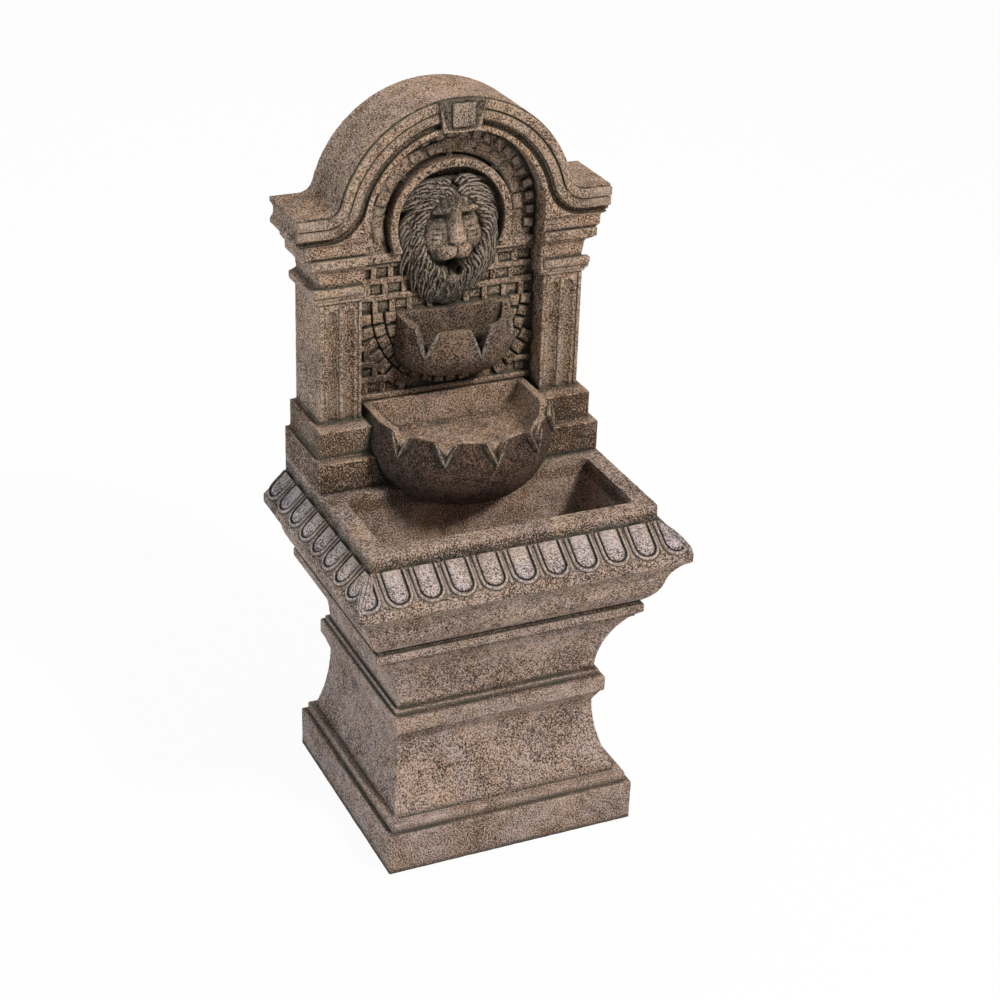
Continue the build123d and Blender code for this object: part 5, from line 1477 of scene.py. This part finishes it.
@dataclass(frozen=True)
class Fittings:
    """Finishes for the CAD nodes that show as they are."""

    finishes: tuple[tuple[PlainFinish, tuple[str, ...]], ...] = (
        (PlainFinish("cover_board", (0.15, 0.11, 0.08), 0.62, variation=0.35), ("rear_cover",)),
        (
            PlainFinish("zinc_steel", (0.58, 0.58, 0.56), 0.36, 1.0, Texture.DRAWN),
            ("pedestal_bolts", "pedestal_washers", "panel_screws", "lower_bowl_screws", "upper_bowl_screws",
             "mask_screws", "rear_cover_screws", "hose_clamps"),
        ),
        (PlainFinish("dowel_wood", (0.60, 0.44, 0.27), 0.6, texture=Texture.GRAINED), ("wall_dowels",)),
        (
            PlainFinish("pump_plastic", (0.028, 0.028, 0.03), 0.42),
            ("pump_housing", "pump_back_plate", "volute_cover", "strainer_cover", "outlet_spigot"),
        ),
        (
            PlainFinish("pale_plastic", (0.68, 0.68, 0.64), 0.35, variation=0.08),
            ("impeller", "flow_slider", "hose_saddles"),
        ),
        (PlainFinish("hose_plastic", (0.62, 0.67, 0.63), 0.3, variation=0.1), ("riser_hose",)),
        (PlainFinish("seal_rubber", (0.03, 0.03, 0.03), 0.72), ("suction_cups", "cable_grommet", "drain_plug")),
        (PlainFinish("aged_bronze", (0.105, 0.08, 0.055), 0.3, 0.9, Texture.DRAWN), ("spout_elbow", "spout_nut")),
        (PlainFinish("ferrite", (0.07, 0.07, 0.075), 0.45), ("rotor_magnet",)),
        (
            PlainFinish("bearing_ceramic", (0.80, 0.78, 0.72), 0.18, variation=0.05),
            ("impeller_shaft", "shaft_bushes"),
        ),
        (PlainFinish("core_steel", (0.34, 0.33, 0.32), 0.4, 1.0, Texture.DRAWN), ("stator_core",)),
        (PlainFinish("coil_winding", (0.50, 0.24, 0.10), 0.35, 1.0, Texture.DRAWN), ("stator_coil",)),
    )

    def build(self) -> None:
        """Give each of these nodes its finish."""
        for finish, nodes in self.finishes:
            material = finish.build()
            for node in nodes:
                mesh = frame["nodes"][node].data
                mesh.materials.clear()
                mesh.materials.append(material)
                LOG.info("%s: %s", node, finish.name)


@dataclass(frozen=True)
class Studio:
    """Pale floor, soft lamps and the photo's camera."""

    floor_size: float = 16.0
    floor_tone: float = 0.9
    whitening: float = 0.95
    sky: float = 0.24
    sky_colour: tuple[float, ...] = (1.0, 0.985, 0.965, 1.0)
    # Name, place, size, watts and colour
    lamps: tuple[tuple[str, Place, float, float, Colour], ...] = (
        ("key_lamp", (1.25, -2.4, 3.0), 0.6, 124.0, (1.0, 0.95, 0.88)),
        ("top_lamp", (0.1, -0.2, 3.3), 1.8, 12.0, (1.0, 0.98, 0.95)),
        ("fill_lamp", (-2.8, 0.1, 0.75), 1.4, 30.0, (0.78, 0.9, 1.0)),
        ("back_lamp", (0.6, 2.4, 2.0), 2.0, 16.0, (1.0, 1.0, 1.0)),
    )
    lamps_aim: Place = (0, 0, 0.33)
    target: Place = (0.02331, -0.002125, 0.28751)
    azimuth: float = -25.273
    elevation: float = 27.186
    roll: float = 2.096
    distance: float = 1.889
    lens: float = 79.496

    def floor(self) -> None:
        """Lay the floor, which looks nearly white to the camera."""
        bpy.ops.object.select_all(action="DESELECT")
        bpy.ops.mesh.primitive_plane_add(size=self.floor_size)
        piece = new_piece("studio_floor")
        graph = Graph(bpy.data.materials.new("studio_floor"))
        soft = graph.noise(graph.place(), 0.8)
        colour = graph.mix(0.06 * soft, (self.floor_tone,) * 3, (self.floor_tone * 0.9,) * 3)
        matte = graph.principled({"Base Color": colour, "Roughness": 0.9})
        glow = graph.node("ShaderNodeEmission", {}, {"Color": WHITE, "Strength": 1.0})
        shader = graph.node("ShaderNodeMixShader", {}, {0: graph.seen() * self.whitening, 1: matte, 2: glow})
        piece.data.materials.append(graph.end(shader))

    def lamp(self, name: str, spot: Place, size: float, power: float, colour: Colour) -> None:
        """Hang one square lamp that faces the fountain.

        Args:
            name: its name.
            spot: its place.
            size: the length of its sides.
            power: its power in watts.
            colour: its colour.
        """
        data = bpy.data.lights.new(name, "AREA")
        data.size = size
        data.energy = power
        data.color = colour
        lamp = bpy.data.objects.new(name, data)
        lamp.location = spot
        lamp.rotation_euler = (Vector(self.lamps_aim) - Vector(spot)).to_track_quat("-Z", "Y").to_euler()
        bpy.context.scene.collection.objects.link(lamp)

    def world(self) -> None:
        """Set an even sky that looks white to the camera."""
        graph = Graph(bpy.data.worlds.new("studio_sky"))
        dim = graph.node("ShaderNodeBackground", {}, {"Color": self.sky_colour, "Strength": self.sky})
        white = graph.node("ShaderNodeBackground", {}, {"Color": WHITE})
        shader = graph.node("ShaderNodeMixShader", {}, {0: graph.seen(), 1: dim, 2: white})
        bpy.context.scene.world = graph.end(shader, "World")

    def camera(self) -> None:
        """Set the camera at the photo's angle."""
        turn, tilt, lean = (math.radians(angle) for angle in (self.azimuth, self.elevation, self.roll))
        back = Vector((math.sin(turn) * math.cos(tilt), -math.cos(turn) * math.cos(tilt), math.sin(tilt)))
        right = Vector((math.cos(turn), math.sin(turn), 0.0))
        up = back.cross(right)
        across = right * math.cos(lean) + up * math.sin(lean)
        upright = up * math.cos(lean) - right * math.sin(lean)
        data = bpy.data.cameras.new("photo_camera")
        data.lens = self.lens
        data.sensor_width = 36.0
        data.clip_start, data.clip_end = 0.05, 60.0
        camera = bpy.data.objects.new("photo_camera", data)
        turned = Matrix((across, upright, back)).transposed().to_4x4()
        camera.matrix_world = Matrix.Translation(Vector(self.target) + back * self.distance) @ turned
        bpy.context.scene.collection.objects.link(camera)
        bpy.context.scene.camera = camera

    def build(self) -> None:
        """Set up the whole studio."""
        self.floor()
        for lamp in self.lamps:
            self.lamp(*lamp)
        self.world()
        self.camera()
        bpy.context.scene.view_settings.view_transform = "Standard"


def bowl_ribs() -> tuple[NotchRibs, NotchRibs, NotchRibs]:
    """Set out the ribs of both bowls.

    Returns:
        The lower bowl's petals and ribs and the upper bowl's ribs.
    """
    angles = (-61.0, -31.0, 0.0, 31.0, 61.0)
    petals = [Notch(0.0, angle, (80.0 * MM, 345.5 * MM)) for angle in angles]
    ribs = [Notch(0.0, angle, (82.4 * MM, 345.0 * MM)) for angle in angles]
    upper = (
        Notch(-3 * MM, -38.0, (43.4 * MM, 409 * MM)),
        Notch(17 * MM, 0.0, (42.9 * MM, 405 * MM)),
        Notch(17 * MM, 60.0, (43.2 * MM, 407 * MM)),
    )
    lower_y, upper_y = 37 * MM, 75 * MM
    return (
        NotchRibs(
            "lower_bowl_petals", LOWER_BOWL_STONE, lower_y, petals, 10.4 * MM, (76.9 * MM, 363.5 * MM), 3.5 * MM
        ),
        NotchRibs("lower_bowl_ribs", RIB_HIGHLIGHT_STONE, lower_y, ribs, 8.4 * MM, (79.6 * MM, 363.0 * MM), 1.2 * MM),
        NotchRibs("upper_bowl_ribs", RIB_HIGHLIGHT_STONE, upper_y, upper, 9.8 * MM, (42.0 * MM, 431.5 * MM), 2.3 * MM),
    )


def main() -> None:
    """Build every sub-assembly in order."""
    petals, lower_ribs, upper_ribs = bowl_ribs()
    for assembly in (
        Studio(),
        PedestalShell("pedestal", STONE_SLOT, PEDESTAL_STONE, 1.0 * MM, 160_000),
        Shell("basin", STONE_SLOT, BASIN_STONE, 1.0 * MM, 170_000),
        Shell("wall_casing", STONE_SLOT, WALL_STONE, 0.75 * MM, 190_000, dents=0.4 * MM),
        Shell("niche_panel", STONE_SLOT, NICHE_STONE, 1.1 * MM, 90_000),
        Mouldings(),
        Archivolt(),
        Keystone(),
        petals,
        lower_ribs,
        Shell("lower_bowl", DARK_SLOT, LOWER_BOWL_STONE, 0.9 * MM, 150_000, 2, 1.0 * MM),
        upper_ribs,
        WingedBowl("upper_bowl", DARK_SLOT, UPPER_BOWL_STONE, 0.7 * MM, 120_000, 2, 0.8 * MM),
        LionMask(),
        EggAndDart(),
        NicheMasonry(),
        Fittings(),
    ):
        assembly.build()


if __name__ == "__main__":
    main()
